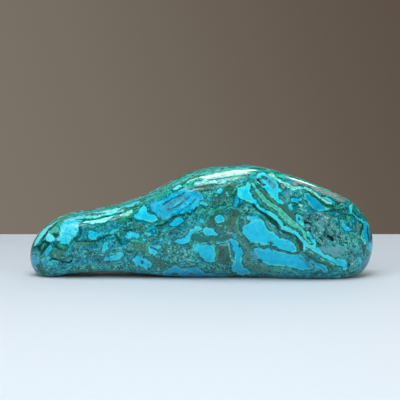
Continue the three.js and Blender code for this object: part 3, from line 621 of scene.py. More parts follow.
    "beadRing": ("mint", -0.35, 0.35, [(9.4, 32.9, 0.28), (6.4, 31.6, 0.3), (5.4, 28.8, 0.26),
        (6.8, 26, 0.3), (9.6, 25, 0.3), (12.4, 26, 0.26), (13.2, 29, 0.24), (12, 31.8, 0.3),
        (9.8, 32.9, 0.26)]),
    "weaveTeal": ("blue", 0.2, 0.5, [(-14.3, 33.6, 0.8), (-8.6, 34.8, 1.2), (-4.8, 38, 1)]),
    "weaveThreadA": ("dark", -1, 0.35, [(-27.4, 36.4, 0.3), (-26.1, 33.1, 0.35), (-22.1, 29.8, 0.25)]),
    "weaveThreadB": ("dark", -1, 0.35, [(-18.2, 33.8, 0.25), (-14.4, 35.6, 0.3), (-10.4, 37.4, 0.22),
        (-5.8, 41.6, 0.25)]),
    "weaveThreadC": ("dark", -0.9, 0.45, [(-15.6, 31.8, 0.2), (-8.4, 34.4, 0.25), (-3.2, 39.7, 0.2)]),
    "weavePaleA": ("vein", -0.6, 0.3, [(-16.9, 35.3, 0.22), (-12.4, 38, 0.3), (-8.4, 40.3, 0.2)]),
    "weavePaleB": ("vein", -0.8, 0.3, [(-14.3, 33.2, 0.2), (-10, 35.6, 0.22), (-6.5, 38.4, 0.2)]),
    "wormLoop": ("mint", -0.2, 0.35, [(22.2, 51.5, 0.4), (18.3, 50.5, 0.6), (15, 48.8, 0.6),
        (13.4, 46.2, 0.5), (12.7, 43.6, 0.6), (14, 41.6, 0.55), (16.3, 42.3, 0.45), (17.6, 44.9, 0.5),
        (19.6, 46.9, 0.45), (21.9, 48.2, 0.4)]),
    "wormLine": ("mint", -0.45, 0.4, [(16.3, 37, 0.3), (13, 36.1, 0.35), (9.8, 35.1, 0.3),
        (6.5, 33.1, 0.35), (3.9, 30.5, 0.3), (1.9, 27.2, 0.3), (0.6, 24.6, 0.25)]),
    "druseGap": ("dark", -0.1, 0.7, [(54.6, 28.6, 0.5), (56.6, 26.6, 0.8), (58.6, 25.8, 0.6),
        (60.6, 24.2, 0.6), (61.6, 22, 0.5)]),
    "druseGap2": ("dark", 0.1, 0.8, [(64.4, 20.6, 0.7), (67.2, 21.4, 1.1), (70, 20.4, 1),
        (72.6, 21.6, 0.6)]),
    "heelPool": ("haze", 0.4, 0.7, [(-44, 9.6, 1.6), (-39, 9.4, 2), (-35, 9.4, 1.6)]),
    "mossPlate": ("moss", 0.5, 0.8, [(64, 12.6, 1.6), (70, 13.4, 2.4), (75, 13, 2.6), (78, 18, 2.4)]),
    "mossEnd": ("moss", -0.3, 0.9, [(73, 10.6, 1.4), (76, 10, 1.8), (81, 13.6, 2), (83, 18, 2)]),
    "mossSlope": ("moss", 0.1, 0.8, [(60, 9, 1), (65, 6.4, 1.2), (70, 3.2, 1.6), (76, 1.6, 1.4)]),
}
# the hairline crack in the foot, (x, height, half width)
footCrack = [(-79.2, 8, 0.25), (-77.6, 8.9, 0.42), (-75.2, 8.3, 0.36), (-73, 7.2, 0.3),
             (-70.8, 6.4, 0.36), (-69.2, 6.6, 0.3), (-68.3, 7.5, 0.4)]
# where open crystal pockets roughen the polish
drusePatches = [
    [(52, 31.5), (56, 32), (60, 33), (66, 32.6), (69.6, 29.6), (69.6, 25), (72.6, 21), (73.4, 17.6),
     (69, 15.6), (61.6, 15.4), (59.6, 19), (57, 21.6), (53.6, 24.4)],
    [(28.8, 51), (31, 52), (35, 51.2), (39, 48), (38, 45.4), (34, 46.4), (30.6, 47.6)],
    [(77.4, 4), (77.4, 9), (79, 12.6), (83, 9.6), (84, 5.4), (80.6, 3)],
]

stonePattern = {
    "kinds": ["haze", "moss", "umber", "olive", "blue", "mint", "lav", "dark", "vein", "pit"],
    "softness": {"haze": 1.4, "moss": 0.7, "lav": 0.22, "vein": 0.06, "dark": 0.08, "pit": 0.06},
    "wander": {"vein": 0.25, "pit": 0.9, "dark": 0.6, "mint": 0.7},   # edge noise, other kinds 1
    "warp": (0.55, 4.5, 11),     # how far the outlines wander and over what length, mm, and seed
    # where the front marks were laid out from, mm and degrees: they read right from there
    "layout": {"away": 494, "stretch": 495.3, "aside": 0.7, "height": 39.3, "rise": 4.0},
    "frontTurn": (0.12, 0.26),   # how far a face leans forward for the front marks to fade in
    "sideTurn": (0.25, 0.55),    # the same for the back, top and underside
    "tipTurn": (0.75, 0.95),     # and for the two tips, where the clouds thin out
    "crestTurn": (0.42, 0.8),    # and for the strands of the crest
    # mm taken off: marks past their own face, clouds on the front, hollows past it, clouds at a tip
    "fade": {"marks": 4, "clouds": 12, "hollows": 6, "tips": 2},
    "druseEdge": (-0.8, 1.6),    # depth in an outline where crystals start and are full, mm
    # marks dealt out on the other faces: how many, from and to where, mm, and the seed
    "back": (300, (-88, 0), (88, 56), 5),
    "top": (190, (-86, -16), (86, 27), 6),
    "under": (130, (-86, -24), (86, 24), 7),
    # loose clouds of mineral through the body: (mineral, size in mm, how scarce, seed)
    "clouds": [("haze", 12, 0.10, 21), ("moss", 12, 0.15, 25), ("blue", 13, 0.22, 31),
               ("umber", 15, 0.42, 41), ("olive", 10, 0.40, 51), ("mint", 8, 0.52, 61),
               ("dark", 7, 0.55, 71)],
    "cloudStretch": (0.75, 1, 1.1),
    "share": 0.4,                # marks this close in depth share their tone and grain, mm
    "farthest": 5.0,             # depths are kept within this, mm
    "breakUp": (0.9, 4.0),       # how much fine noise bends an edge: least, and more with grain
    "bend": 2.8,                 # how much broad noise bends it
    "blur": (0.46, 0.62, 6),     # where an edge is blurred, and how many times wider
}
stoneRelief = {
    "sway": (0.16, 15.0, 81),    # slow waviness left by hand polishing: depth, length, mm, and seed
    "pitDepth": 1.5,
    "crackDepth": 0.8,
    "druseDepth": 1.0,
    "knobs": [(4.4, 0.55, 91), (1.7, 0.3, 95), (0.9, 0.15, 97)],   # cell size in mm, share, seed
    "knobBend": (0.7, 2.2, 101),     # how far knobs are bent out of round, over what length, seed
    "pitEdge": (-0.25, 0.8),     # depth in a mark where it starts to sink and is fully sunk, mm
    "crackEdge": (-0.15, 0.35),
}


def smoothStep(low, high, value):
    # 0 below low, 1 above high, and 3t^2 - 2t^3 between them
    t = np.clip((value - low) / (high - low), 0, 1)
    return t * t * (3 - 2 * t)


def dealtMarks(count, corner, farCorner, seed):
    # Marks for the faces turned away: each is one of the front's, turned, scaled and moved at random
    chance = np.random.RandomState(seed)
    pool = [m for m in frontMarks.values() if m[0] != "pit"]
    marks = []
    for _ in range(count):
        kind, tone, grain, points = pool[chance.randint(len(pool))]
        pts = np.array(points, float)
        turn, size = chance.uniform(-0.7, 0.7), chance.uniform(0.8, 1.5)
        flip = chance.choice([-1, 1])
        spin = np.array([[math.cos(turn), math.sin(turn)], [-math.sin(turn), math.cos(turn)]])
        pts[:, :2] = (pts[:, :2] - pts[:, :2].mean(0)) * [flip, 1] @ spin * size
        pts[:, :2] += [chance.uniform(corner[i], farCorner[i]) for i in (0, 1)]
        marks.append((kind, np.clip(tone + chance.uniform(-0.2, 0.2), -1, 1), grain, pts))
    return marks


def layMarks(fields, u, w, weight, marks):
    # Each mark's depth is taken down where its side of the stone turns away. The deepest mark of a
    # kind wins, and tone and grain are averages weighted by exp(depth / share).
    for kind, tone, grain, points in marks:
        pts = np.array(points, float)
        reach = stonePattern["farthest"] + (pts[:, 2].max() if pts.shape[1] == 3 else 0)
        low, high = pts[:, :2].min(0) - reach, pts[:, :2].max(0) + reach
        near = (weight > 0.02) & (u > low[0]) & (u < high[0]) & (w > low[1]) & (w < high[1])
        if not near.any():
            continue
        shape = patchDepth if pts.shape[1] == 2 else ribbonDepth
        depth = shape(u[near], w[near], pts) - (1 - weight[near]) * stonePattern["fade"]["marks"]
        field = fields[kind]
        share = np.exp(depth / stonePattern["share"])
        field[near, 0] = np.maximum(field[near, 0], depth)
        field[near, 1] += share * tone
        field[near, 2] += share * grain
        field[near, 3] += share


def layClouds(fields, place, sway, thinned):
    # A cloud is where layered noise passes its scarceness: depth = (noise - scarce) * 0.55 size.
    body = place * stonePattern["cloudStretch"]
    for kind, size, scarce, seed in stonePattern["clouds"]:
        cloud = layeredNoise(body + sway * 4, size, seed)
        depth = (cloud - scarce) * size * 0.55 - thinned
        share = np.exp(depth / stonePattern["share"])
        field = fields[kind]
        field[:, 0] = np.maximum(field[:, 0], depth)
        field[:, 1] += share * np.clip(smoothNoise(body, 19, seed + 5) * 1.3, -1, 1)
        field[:, 2] += share * (0.35 + 0.35 * smoothNoise(body, 9, seed + 7))
        field[:, 3] += share


def crestStrands(place, normal):
    # place along the stone, distance across and down from the crest line, and weight by upward turn
    drop = railCurve(stoneForm["crest"])(fractionAt(place[:, 0])) - place[:, 2]
    across = place[:, 1] - np.sign(-normal[:, 1]) * drop
    return np.stack([place[:, 0], across, smoothStep(*stonePattern["crestTurn"], normal[:, 2])], -1)


def stoneFields(place, normal):
    # For each point and mineral: depth inside its marks, tone and grain. The front is read on the
    # upright plane in perspective, offset * distance / distance away, and the other faces flat.
    amount, size, seed = stonePattern["warp"]
    sway = np.stack([layeredNoise(place, size, seed + i) for i in (0, 1, 2)], -1) * amount
    x, y, z = (place + sway).T
    layout = stonePattern["layout"]
    rise, up = math.radians(layout["rise"]), z - layout["height"]
    away = layout["away"] + y - math.sin(rise) * up
    u = layout["away"] * (x + layout["aside"]) / away - layout["aside"]
    w = layout["height"] + layout["stretch"] * (math.sin(rise) * y + math.cos(rise) * up) / away
    front = smoothStep(*stonePattern["frontTurn"], -normal[:, 1])
    back = smoothStep(*stonePattern["sideTurn"], normal[:, 1])
    top = smoothStep(*stonePattern["sideTurn"], normal[:, 2]) * (1 - front)
    under = smoothStep(*stonePattern["sideTurn"], -normal[:, 2]) * (1 - front)
    tip = smoothStep(*stonePattern["tipTurn"], np.abs(normal[:, 0]))
    fade = stonePattern["fade"]
    fields = {k: np.zeros((len(place), 4)) for k in stonePattern["kinds"]}
    for field in fields.values():
        field[:, 0] = -stonePattern["farthest"]
        field[:, 3] = 1e-6
    layClouds(fields, place, sway, front * fade["clouds"] + tip * fade["tips"])
    layMarks(fields, u, w, front, frontMarks.values())
    layMarks(fields, x, z, back, dealtMarks(*stonePattern["back"]))
    layMarks(fields, x, y * 1.1, top, dealtMarks(*stonePattern["top"]))
    layMarks(fields, x, y, under, dealtMarks(*stonePattern["under"]))
    out = {}
    for kind, field in fields.items():
        depth = np.clip(field[:, 0], -stonePattern["farthest"], stonePattern["farthest"])
        out[kind] = np.stack([depth, field[:, 1] / field[:, 3], field[:, 2] / field[:, 3]], -1)
    hollow = np.max([patchDepth(u, w, outline) for outline in drusePatches], axis=0)
    druse = smoothStep(*stonePattern["druseEdge"], hollow - (1 - front) * fade["hollows"])
    crack = ribbonDepth(u, w, footCrack) - (1 - front) * fade["hollows"]
    out["pit"][:, 0] = np.maximum(out["pit"][:, 0], crack)
    return out, druse, crack, crestStrands(place, normal)


def reliefDepth(place, fields, druse, crack):
    # how far the surface is pressed in, mm: polishing sway, pits, the crack and crystal hollows.
    # A knob is a dome over each cell seed: 1 - (distance / 0.8 size)^2
    depth, length, seed = stoneRelief["sway"]
    sunk = depth * (1 + smoothNoise(place, length, seed)) / 2
    pit = fields["pit"][:, 0] - 9 * (crack > -1)
    sunk = sunk + stoneRelief["pitDepth"] * smoothStep(*stoneRelief["pitEdge"], pit)
    sunk = sunk + stoneRelief["crackDepth"] * smoothStep(*stoneRelief["crackEdge"], crack)
    amount, length, seed = stoneRelief["knobBend"]
    bent = place + np.stack([smoothNoise(place, length, seed + i) for i in (0, 1, 2)], -1) * amount
    knob = 0
    for size, share, seed in stoneRelief["knobs"]:
        knob = knob + share * np.clip(1 - (nearestSeed(bent, size, seed) / (0.8 * size)) ** 2, 0, 1)
    return sunk + druse * stoneRelief["druseDepth"] * (1 - knob), knob


def buildStone():
    # Rings of points, pressed in along their normals by the relief, joined by quads and closed by
    # two fans. Points crowd as 1 + extra * exp(-((t - middle) / width)^2).
    rings, around = stoneForm["rings"], stoneForm["around"]
    middle, width, extra = stoneForm["bulbCrowd"]
    fraction = spread(rings, lambda t: 1 + extra * np.exp(-((t - fractionAt(middle)) / width) ** 2))
    side, breadth, more = stoneForm["frontCrowd"]
    angle = 2 * math.pi * spread(around + 1, lambda t: 1 + more * np.exp(-((t - side) / breadth) ** 2))
    grid = stoneSurface(fraction, angle[:-1])
    normal = surfaceNormals(grid)
    # every ring but the tips, then the two tips as single points
    place = np.concatenate([grid[1:-1].reshape(-1, 3), grid[0, :1], grid[-1, :1]])
    normal = np.concatenate([normal[1:-1].reshape(-1, 3), [[-1, 0, 0], [1, 0, 0]]])
    fields, druse, crack, strand = stoneFields(place, normal)
    sunk, knob = reliefDepth(place, fields, druse, crack)
    # the ground face stays flat, and nothing else reaches below it
    final = place - normal * sunk[:, None]
    final[:, 2] = np.where(place[:, 2] < 0.02, place[:, 2], np.maximum(final[:, 2], 0))
    ring, point = np.meshgrid(np.arange(rings - 3), np.arange(around), indexing="ij")
    ring, point = ring.ravel(), point.ravel()
    step = (point + 1) % around
    quads = np.stack([ring * around + point, ring * around + step,
                      (ring + 1) * around + step, (ring + 1) * around + point], -1)
    j = np.arange(around)
    step = (j + 1) % around
    last = (rings - 3) * around
    leftTip = np.stack([np.full(around, len(place) - 2), step, j], -1)
    rightTip = np.stack([last + j, last + step, np.full(around, len(place) - 1)], -1)
    mesh = bpy.data.meshes.new("polishedStone")
    mesh.from_pydata((final * mm).tolist(), [], quads.tolist() + leftTip.tolist() + rightTip.tolist())
    mesh.shade_smooth()
    # the UV map: along the stone by length, round it by the ring's own steps
    run = np.cumsum(np.linalg.norm(np.diff(grid[:, around // 2], axis=0), axis=1))
    run = np.concatenate([[0], run]) / run[-1]
    turn = np.arange(around + 1) / around
    half, one, other = (j + 0.5) / around, np.full(around, run[1]), np.full(around, run[-2])
    before, after, low, high = run[ring + 1], run[ring + 2], turn[point], turn[point + 1]
    quadMap = np.stack([before, low, before, high, after, high, after, low], -1)
    leftMap = np.stack([0 * half, half, one, turn[j + 1], one, turn[j]], -1)
    rightMap = np.stack([other, turn[j], other, turn[j + 1], 0 * half + 1, half], -1)
    layer = mesh.uv_layers.new(name="OFBake")
    layer.data.foreach_set("uv", np.concatenate([quadMap.ravel(), leftMap.ravel(), rightMap.ravel()]))
    vectors = {kind + "Mark": fields[kind] for kind in stonePattern["kinds"]}
    vectors.update(strand=strand, druse=np.stack([druse, knob, 0 * knob], -1))
    for name, values in vectors.items():
        attribute = mesh.attributes.new(name, "FLOAT_VECTOR", "POINT")
        attribute.data.foreach_set("vector", values.ravel())
    stone = bpy.data.objects.new("polished_stone", mesh)
    bpy.context.scene.collection.objects.link(stone)
    return stone


polishedStone = buildStone()
print("stone surface made,", len(polishedStone.data.vertices), "points")

# colours are display values, 0 to 255
stoneLook = {
    # ramps, each stop placed between 0 and 1; a mark's tone from -1 to 1 is spread over its ramp
    "ground": [(0.30, (14, 130, 168)), (0.39, (34, 166, 196)), (0.425, (84, 204, 200)),
               (0.44, (6, 78, 76)), (0.465, (26, 126, 122)), (0.50, (44, 112, 98)),
               (0.535, (24, 100, 88)), (0.548, (6, 70, 66)), (0.565, (58, 178, 174)),
               (0.60, (20, 142, 160)), (0.635, (10, 108, 118)), (0.66, (30, 164, 190)),
               (0.74, (36, 180, 208))],
    "strand": [(0.34, (24, 170, 180)), (0.39, (56, 222, 212)), (0.42, (4, 76, 52)),
               (0.45, (12, 124, 88)), (0.47, (70, 230, 196)), (0.49, (36, 190, 170)),
               (0.505, (2, 62, 44)), (0.535, (14, 134, 96)), (0.55, (54, 222, 212)),
               (0.58, (26, 178, 176)), (0.60, (4, 72, 50)), (0.63, (34, 196, 176)),
               (0.70, (20, 152, 150))],
    "streak": [(0.50, (20, 140, 150)), (0.56, (10, 156, 186)), (0.62, (16, 184, 208)),
               (0.68, (80, 214, 214))],
    "haze": [(0.0, (16, 104, 136)), (0.5, (20, 152, 174)), (1.0, (66, 208, 212))],
    "moss": [(0.0, (4, 78, 76)), (0.3, (18, 128, 122)), (0.6, (50, 174, 164)),
             (1.0, (120, 212, 198))],
    # the palest umber stop is light enough to carry the painted reflection on the right flank's strap
    "umber": [(0.0, (26, 70, 60)), (0.5, (50, 78, 76)), (1.0, (158, 178, 172))],
    "olive": [(0.0, (12, 112, 112)), (0.5, (46, 106, 84)), (1.0, (74, 102, 84))],
    "blue": [(0.0, (0, 122, 152)), (0.25, (0, 158, 200)), (0.5, (2, 196, 228)),
             (0.75, (52, 226, 238)), (1.0, (134, 246, 246))],
    "mint": [(0.0, (8, 94, 80)), (0.25, (30, 146, 122)), (0.5, (74, 194, 168)),
             (0.75, (112, 226, 204)), (1.0, (166, 244, 230))],
    "lav": [(0.0, (32, 84, 124)), (0.5, (76, 138, 152)), (1.0, (140, 182, 176))],
    "dark": [(0.0, (6, 66, 92)), (0.5, (4, 48, 42)), (1.0, (10, 90, 64))],
    "vein": [(0.0, (60, 196, 226)), (0.5, (120, 220, 222)), (1.0, (176, 226, 220))],
    "pit": [(0.0, (2, 30, 36)), (1.0, (5, 44, 46))],
    # crystal colours by knob height: painted shade low between the knobs, painted highlight on their tops
    "crystals": [(0.05, (2, 40, 46)), (0.20, (6, 84, 92)), (0.34, (16, 130, 138)),
                 (0.50, (48, 148, 142)), (0.68, (92, 166, 154)), (0.85, (150, 208, 200))],
    # layers: the value where one starts, the value where it is full, its strength and its colour
    "layers": {
        "groundPale": (0.57, 0.65, 0.3, (92, 200, 186)),
        "groundDeep": (0.41, 0.36, 0.75, (6, 64, 62)),
        "contour": (0.2, 0.95, 0.6, (6, 64, 62)),
        "hazeSpeck": (0.42, 0.36, 1, (4, 82, 100)),
        "haze": (0.52, 0.78, 0.75, None),
        "mossPale": (0.5, 0.6, 1, (112, 210, 192)),
        "mossDeep": (0.46, 0.39, 1, (2, 54, 56)),
        "streakEdge": (0.515, 0.55, 1, (8, 84, 82)),
        "streak": (0.55, 0.575, 1, None),
        "streakGap": (0.42, 0.39, 0.75, (6, 64, 62)),
        "umberRind": (0.1, 0.9, 0.55, (34, 114, 100)),
        "umberDeep": (-0.3, -0.95, 0.6, (36, 58, 54)),
        "umberEdge": (0.7, 0.1, 0.7, (34, 114, 100)),
        "umberSpeck": (0.48, 0.58, 0.8, (92, 200, 186)),
        "oliveSpeck": (0.5, 0.58, 0.8, (92, 200, 186)),
        "blueEcho": (0.0, 0.8, 0.6, (8, 84, 76)),
        "blueGlow": (-3.2, -0.2, 0.28, (16, 142, 158)),
        "blueHalo": (0.4, 0.1, 0.6, (70, 178, 148)),
        "blueMoat": (-1.0, -0.2, 0.75, (8, 84, 76)),
        "blueMottle": (0.42, 0.62, 0.22, (52, 226, 238)),
        "blueDrift": (0.52, 0.68, 0.38, (0, 158, 200)),
        "blueHair": (0.006, 0.002, 0.7, (4, 82, 100)),
        "blueCore": (0.8, 3.2, 0.3, (0, 184, 232)),
        "blueRim": (0.95, 0.15, 1, (96, 228, 212)),
        "mintMoat": (-0.7, -0.1, 0.7, (8, 88, 68)),
        "mintRings": (0.1, 0.9, 0.75, (30, 146, 122)),
        "mintShade": (0.53, 0.62, 0.6, (40, 134, 122)),
        "mintFleck": (0.52, 0.62, 0.7, (166, 244, 230)),
        "lavFleck": (0.5, 0.57, 1, (2, 196, 228)),
        "lavSpeck": (0.46, 0.4, 1, (4, 82, 100)),
        "darkFleck": (0.55, 0.63, 1, (74, 194, 168)),
        # the crystal seams' dark teal is painted shade, and the crystal tips' pale flecks two lines down
        # are painted sparkle
        "crystalGapShade": (0.12, 0.03, 0.8, (4, 66, 72)),
        "crystals": (0.38, 0.50, 0.9, None),
        "crystalTipSparkle": (0.6, 0.66, 0.5, (176, 226, 222)),
    },
    "blueFlecks": ((4, 82, 100), (100, 156, 184)),   # deep teal ones and grey-blue ones
    # masks: the value of a noise or a depth where one starts and where it is full
    "masks": {"contour": (0.46, 0.58), "moss": (0.34, 0.48), "veins": (0.36, 0.5),
              "echoNear": (-3.8, -0.6), "echo": (0.38, 0.52), "glow": (0.36, 0.56),
              "halo": (0.5, 0.42), "moat": (0.36, 0.56), "hair": (0.5, 0.6),
              "fleckEdge": (1.4, 0.1), "fleckKind": (0.46, 0.56), "rim": (0.60, 0.42)},
    # how far a noise moves each value
    "reach": {"groundBroad": 0.1, "groundFine": 0.04, "streaks": 0.07, "streakTone": 0.5,
              "strands": 0.12, "knobs": 0.5, "crystals": 0.7},
    # how strongly each mineral covers what is under it, the others fully
    "cover": {"moss": 0.85, "lav": 0.85, "dark": 0.92, "vein": 0.85, "strand": 0.9},
    # noises: scale per millimetre, detail, roughness and distortion
    "noise": {"fine": (1.15, 3, 0.6), "broad": (0.38, 2, 0.5), "grit": (2.3, 2, 0.6),
              "specks": (1.7, 3, 0.7), "dots": (1.0, 2, 0.5), "patchy": (0.16, 2),
              "wisps": (0.62, 4, 0.62, 1.0), "cloud": (0.15, 2.2, 0.5), "somewhere": (0.07, 2),
              "streaks": (1.0, 2.5, 0.5), "strands": (1.0, 2.5, 0.5, 0.6),
              "hair": (0.11, 5, 0.55), "thinning": (0.2, 2), "swirl": (0.085, 1.5, 0.5)},
    "drag": 9,                   # how far the swirls drag the ground, mm
    "contours": 120,             # pace of the contour lines, radians over the clouding's range
    "haloAt": 1.35,              # distance of the halo from a blue patch, mm
    "streakScale": (0.13, 0.36, 0.4),
    "streakTurn": 0.28,          # radians
    "strandScale": (0.045, 0.17, 0),
    "mossCell": 0.9,             # cells per millimetre
    "crystalCell": 0.95,
    # winding veins: scale, middle of the noise, half width, colour
    "veins": [(0.13, 0.5, 0.017, (8, 62, 54)), (0.2, 0.47, 0.009, (110, 214, 200)),
              (0.23, 0.53, 0.015, (8, 62, 54))],
    "rings": {"umber": (5.5, 6), "blue": (4.6, 7), "mint": (6, 5)},   # radians per mm, and sway
    "polish": 0.13,              # roughness of the ground and polished faces
    "pocket": 0.5,               # roughness inside pits and crystal hollows
    "wear": 0.1,                 # how much fine noise changes it
    "bump": (0.35, 0.0004),      # strength and depth in metres
    "index": 1.47,
    "shine": 0.39,
}


def daylight(colour):
    # 0 to 255 display values to linear light
    c = np.array(colour) / 255
    return (*np.where(c <= 0.04045, c / 12.92, ((c + 0.055) / 1.055) ** 2.4).tolist(), 1.0)


def addNode(tree, kind, **settings):
    made = tree.nodes.new(kind)
    for key, value in settings.items():
        setattr(made, key, value)
    return made


def feed(tree, socket, value):
    # a socket takes another node's socket, or a plain value of its own
    if isinstance(value, bpy.types.NodeSocket):
        tree.links.new(value, socket)
    else:
        socket.default_value = value


def maths(tree, how, *values):
    made = addNode(tree, "ShaderNodeMath", operation=how)
    for socket, value in zip(made.inputs, values):
        feed(tree, socket, value)
    return made.outputs[0]


def blend(tree, amount, under, over):
    made = addNode(tree, "ShaderNodeMix", data_type="RGBA")
    feed(tree, made.inputs[0], amount)
    feed(tree, made.inputs[6], under if isinstance(under, bpy.types.NodeSocket) else daylight(under))
    feed(tree, made.inputs[7], over if isinstance(over, bpy.types.NodeSocket) else daylight(over))
    return made.outputs[2]


def easeBetween(tree, value, low, high):
    # 0 at low, 1 at high, eased
    made = addNode(tree, "ShaderNodeMapRange", interpolation_type="SMOOTHSTEP")
    feed(tree, made.inputs["Value"], value)
    feed(tree, made.inputs["From Min"], low)
    feed(tree, made.inputs["From Max"], high)
    return made.outputs[0]


def noiseAt(tree, place, scale, detail=3, rough=0.55, distortion=0.0):
    made = addNode(tree, "ShaderNodeTexNoise")
    tree.links.new(place, made.inputs["Vector"])
    made.inputs["Scale"].default_value = scale
    made.inputs["Detail"].default_value = detail
    made.inputs["Roughness"].default_value = rough
    made.inputs["Distortion"].default_value = distortion
    return made.outputs["Fac"]


def ramp(tree, value, stops):
    made = addNode(tree, "ShaderNodeValToRGB")
    tree.links.new(value, made.inputs[0])
    band = made.color_ramp
    while len(band.elements) < len(stops):
        band.elements.new(0.5)
    for element, (at, colour) in zip(band.elements, stops):
        element.position = at
        element.color = daylight(colour)
    return made.outputs[0]


def markGroup():
    # A mark's mask, its wandering depth, its tone as 0 to 1 and its grain
    group = bpy.data.node_groups.new("mineralMark", "ShaderNodeTree")
    for name, kind in (("Mark", "NodeSocketVector"), ("Fine", "NodeSocketFloat"),
                       ("Broad", "NodeSocketFloat"), ("Softness", "NodeSocketFloat"),
                       ("Wander", "NodeSocketFloat")):
        group.interface.new_socket(name=name, in_out="INPUT", socket_type=kind)
    for name in ("Mask", "Depth", "Tone", "Grain"):
        group.interface.new_socket(name=name, in_out="OUTPUT", socket_type="NodeSocketFloat")
    source = addNode(group, "NodeGroupInput")
    parts = addNode(group, "ShaderNodeSeparateXYZ")
    group.links.new(source.outputs["Mark"], parts.inputs[0])
    depth, tone, grain = parts.outputs
    least, more = stonePattern["breakUp"]
    breakUp = maths(group, "MULTIPLY_ADD", grain, more, least)
    fine = maths(group, "MULTIPLY", maths(group, "SUBTRACT", source.outputs["Fine"], 0.5), breakUp)
    broad = maths(group, "MULTIPLY", maths(group, "SUBTRACT", source.outputs["Broad"], 0.5),
                  stonePattern["bend"])
    edge = maths(group, "MULTIPLY_ADD", maths(group, "ADD", fine, broad),
                 source.outputs["Wander"], depth)
    sink = addNode(group, "NodeGroupOutput")
    # an edge is sharp in one place and much wider in another
    starts, full, wider = stonePattern["blur"]
    blur = easeBetween(group, source.outputs["Broad"], starts, full)
    blur = maths(group, "MULTIPLY_ADD", blur, wider, 1)
    half = maths(group, "MULTIPLY", source.outputs["Softness"], blur)
    under = maths(group, "MULTIPLY", half, -1)
    group.links.new(easeBetween(group, edge, under, half), sink.inputs["Mask"])
    group.links.new(edge, sink.inputs["Depth"])
    toneMix = maths(group, "ADD", tone, maths(group, "MULTIPLY", broad, 0.5))
    group.links.new(maths(group, "MULTIPLY_ADD", toneMix, 0.5, 0.5), sink.inputs["Tone"])
    group.links.new(grain, sink.inputs["Grain"])
    return group


def markNode(tree, group, kind, fine, broad):
    source = addNode(tree, "ShaderNodeAttribute", attribute_name=kind + "Mark")
    made = addNode(tree, "ShaderNodeGroup", node_tree=group)
    tree.links.new(source.outputs["Vector"], made.inputs["Mark"])
    tree.links.new(fine, made.inputs["Fine"])
    tree.links.new(broad, made.inputs["Broad"])
    made.inputs["Softness"].default_value = stonePattern["softness"].get(kind, 0.1)
    made.inputs["Wander"].default_value = stonePattern["wander"].get(kind, 1.0)
    return made.outputs


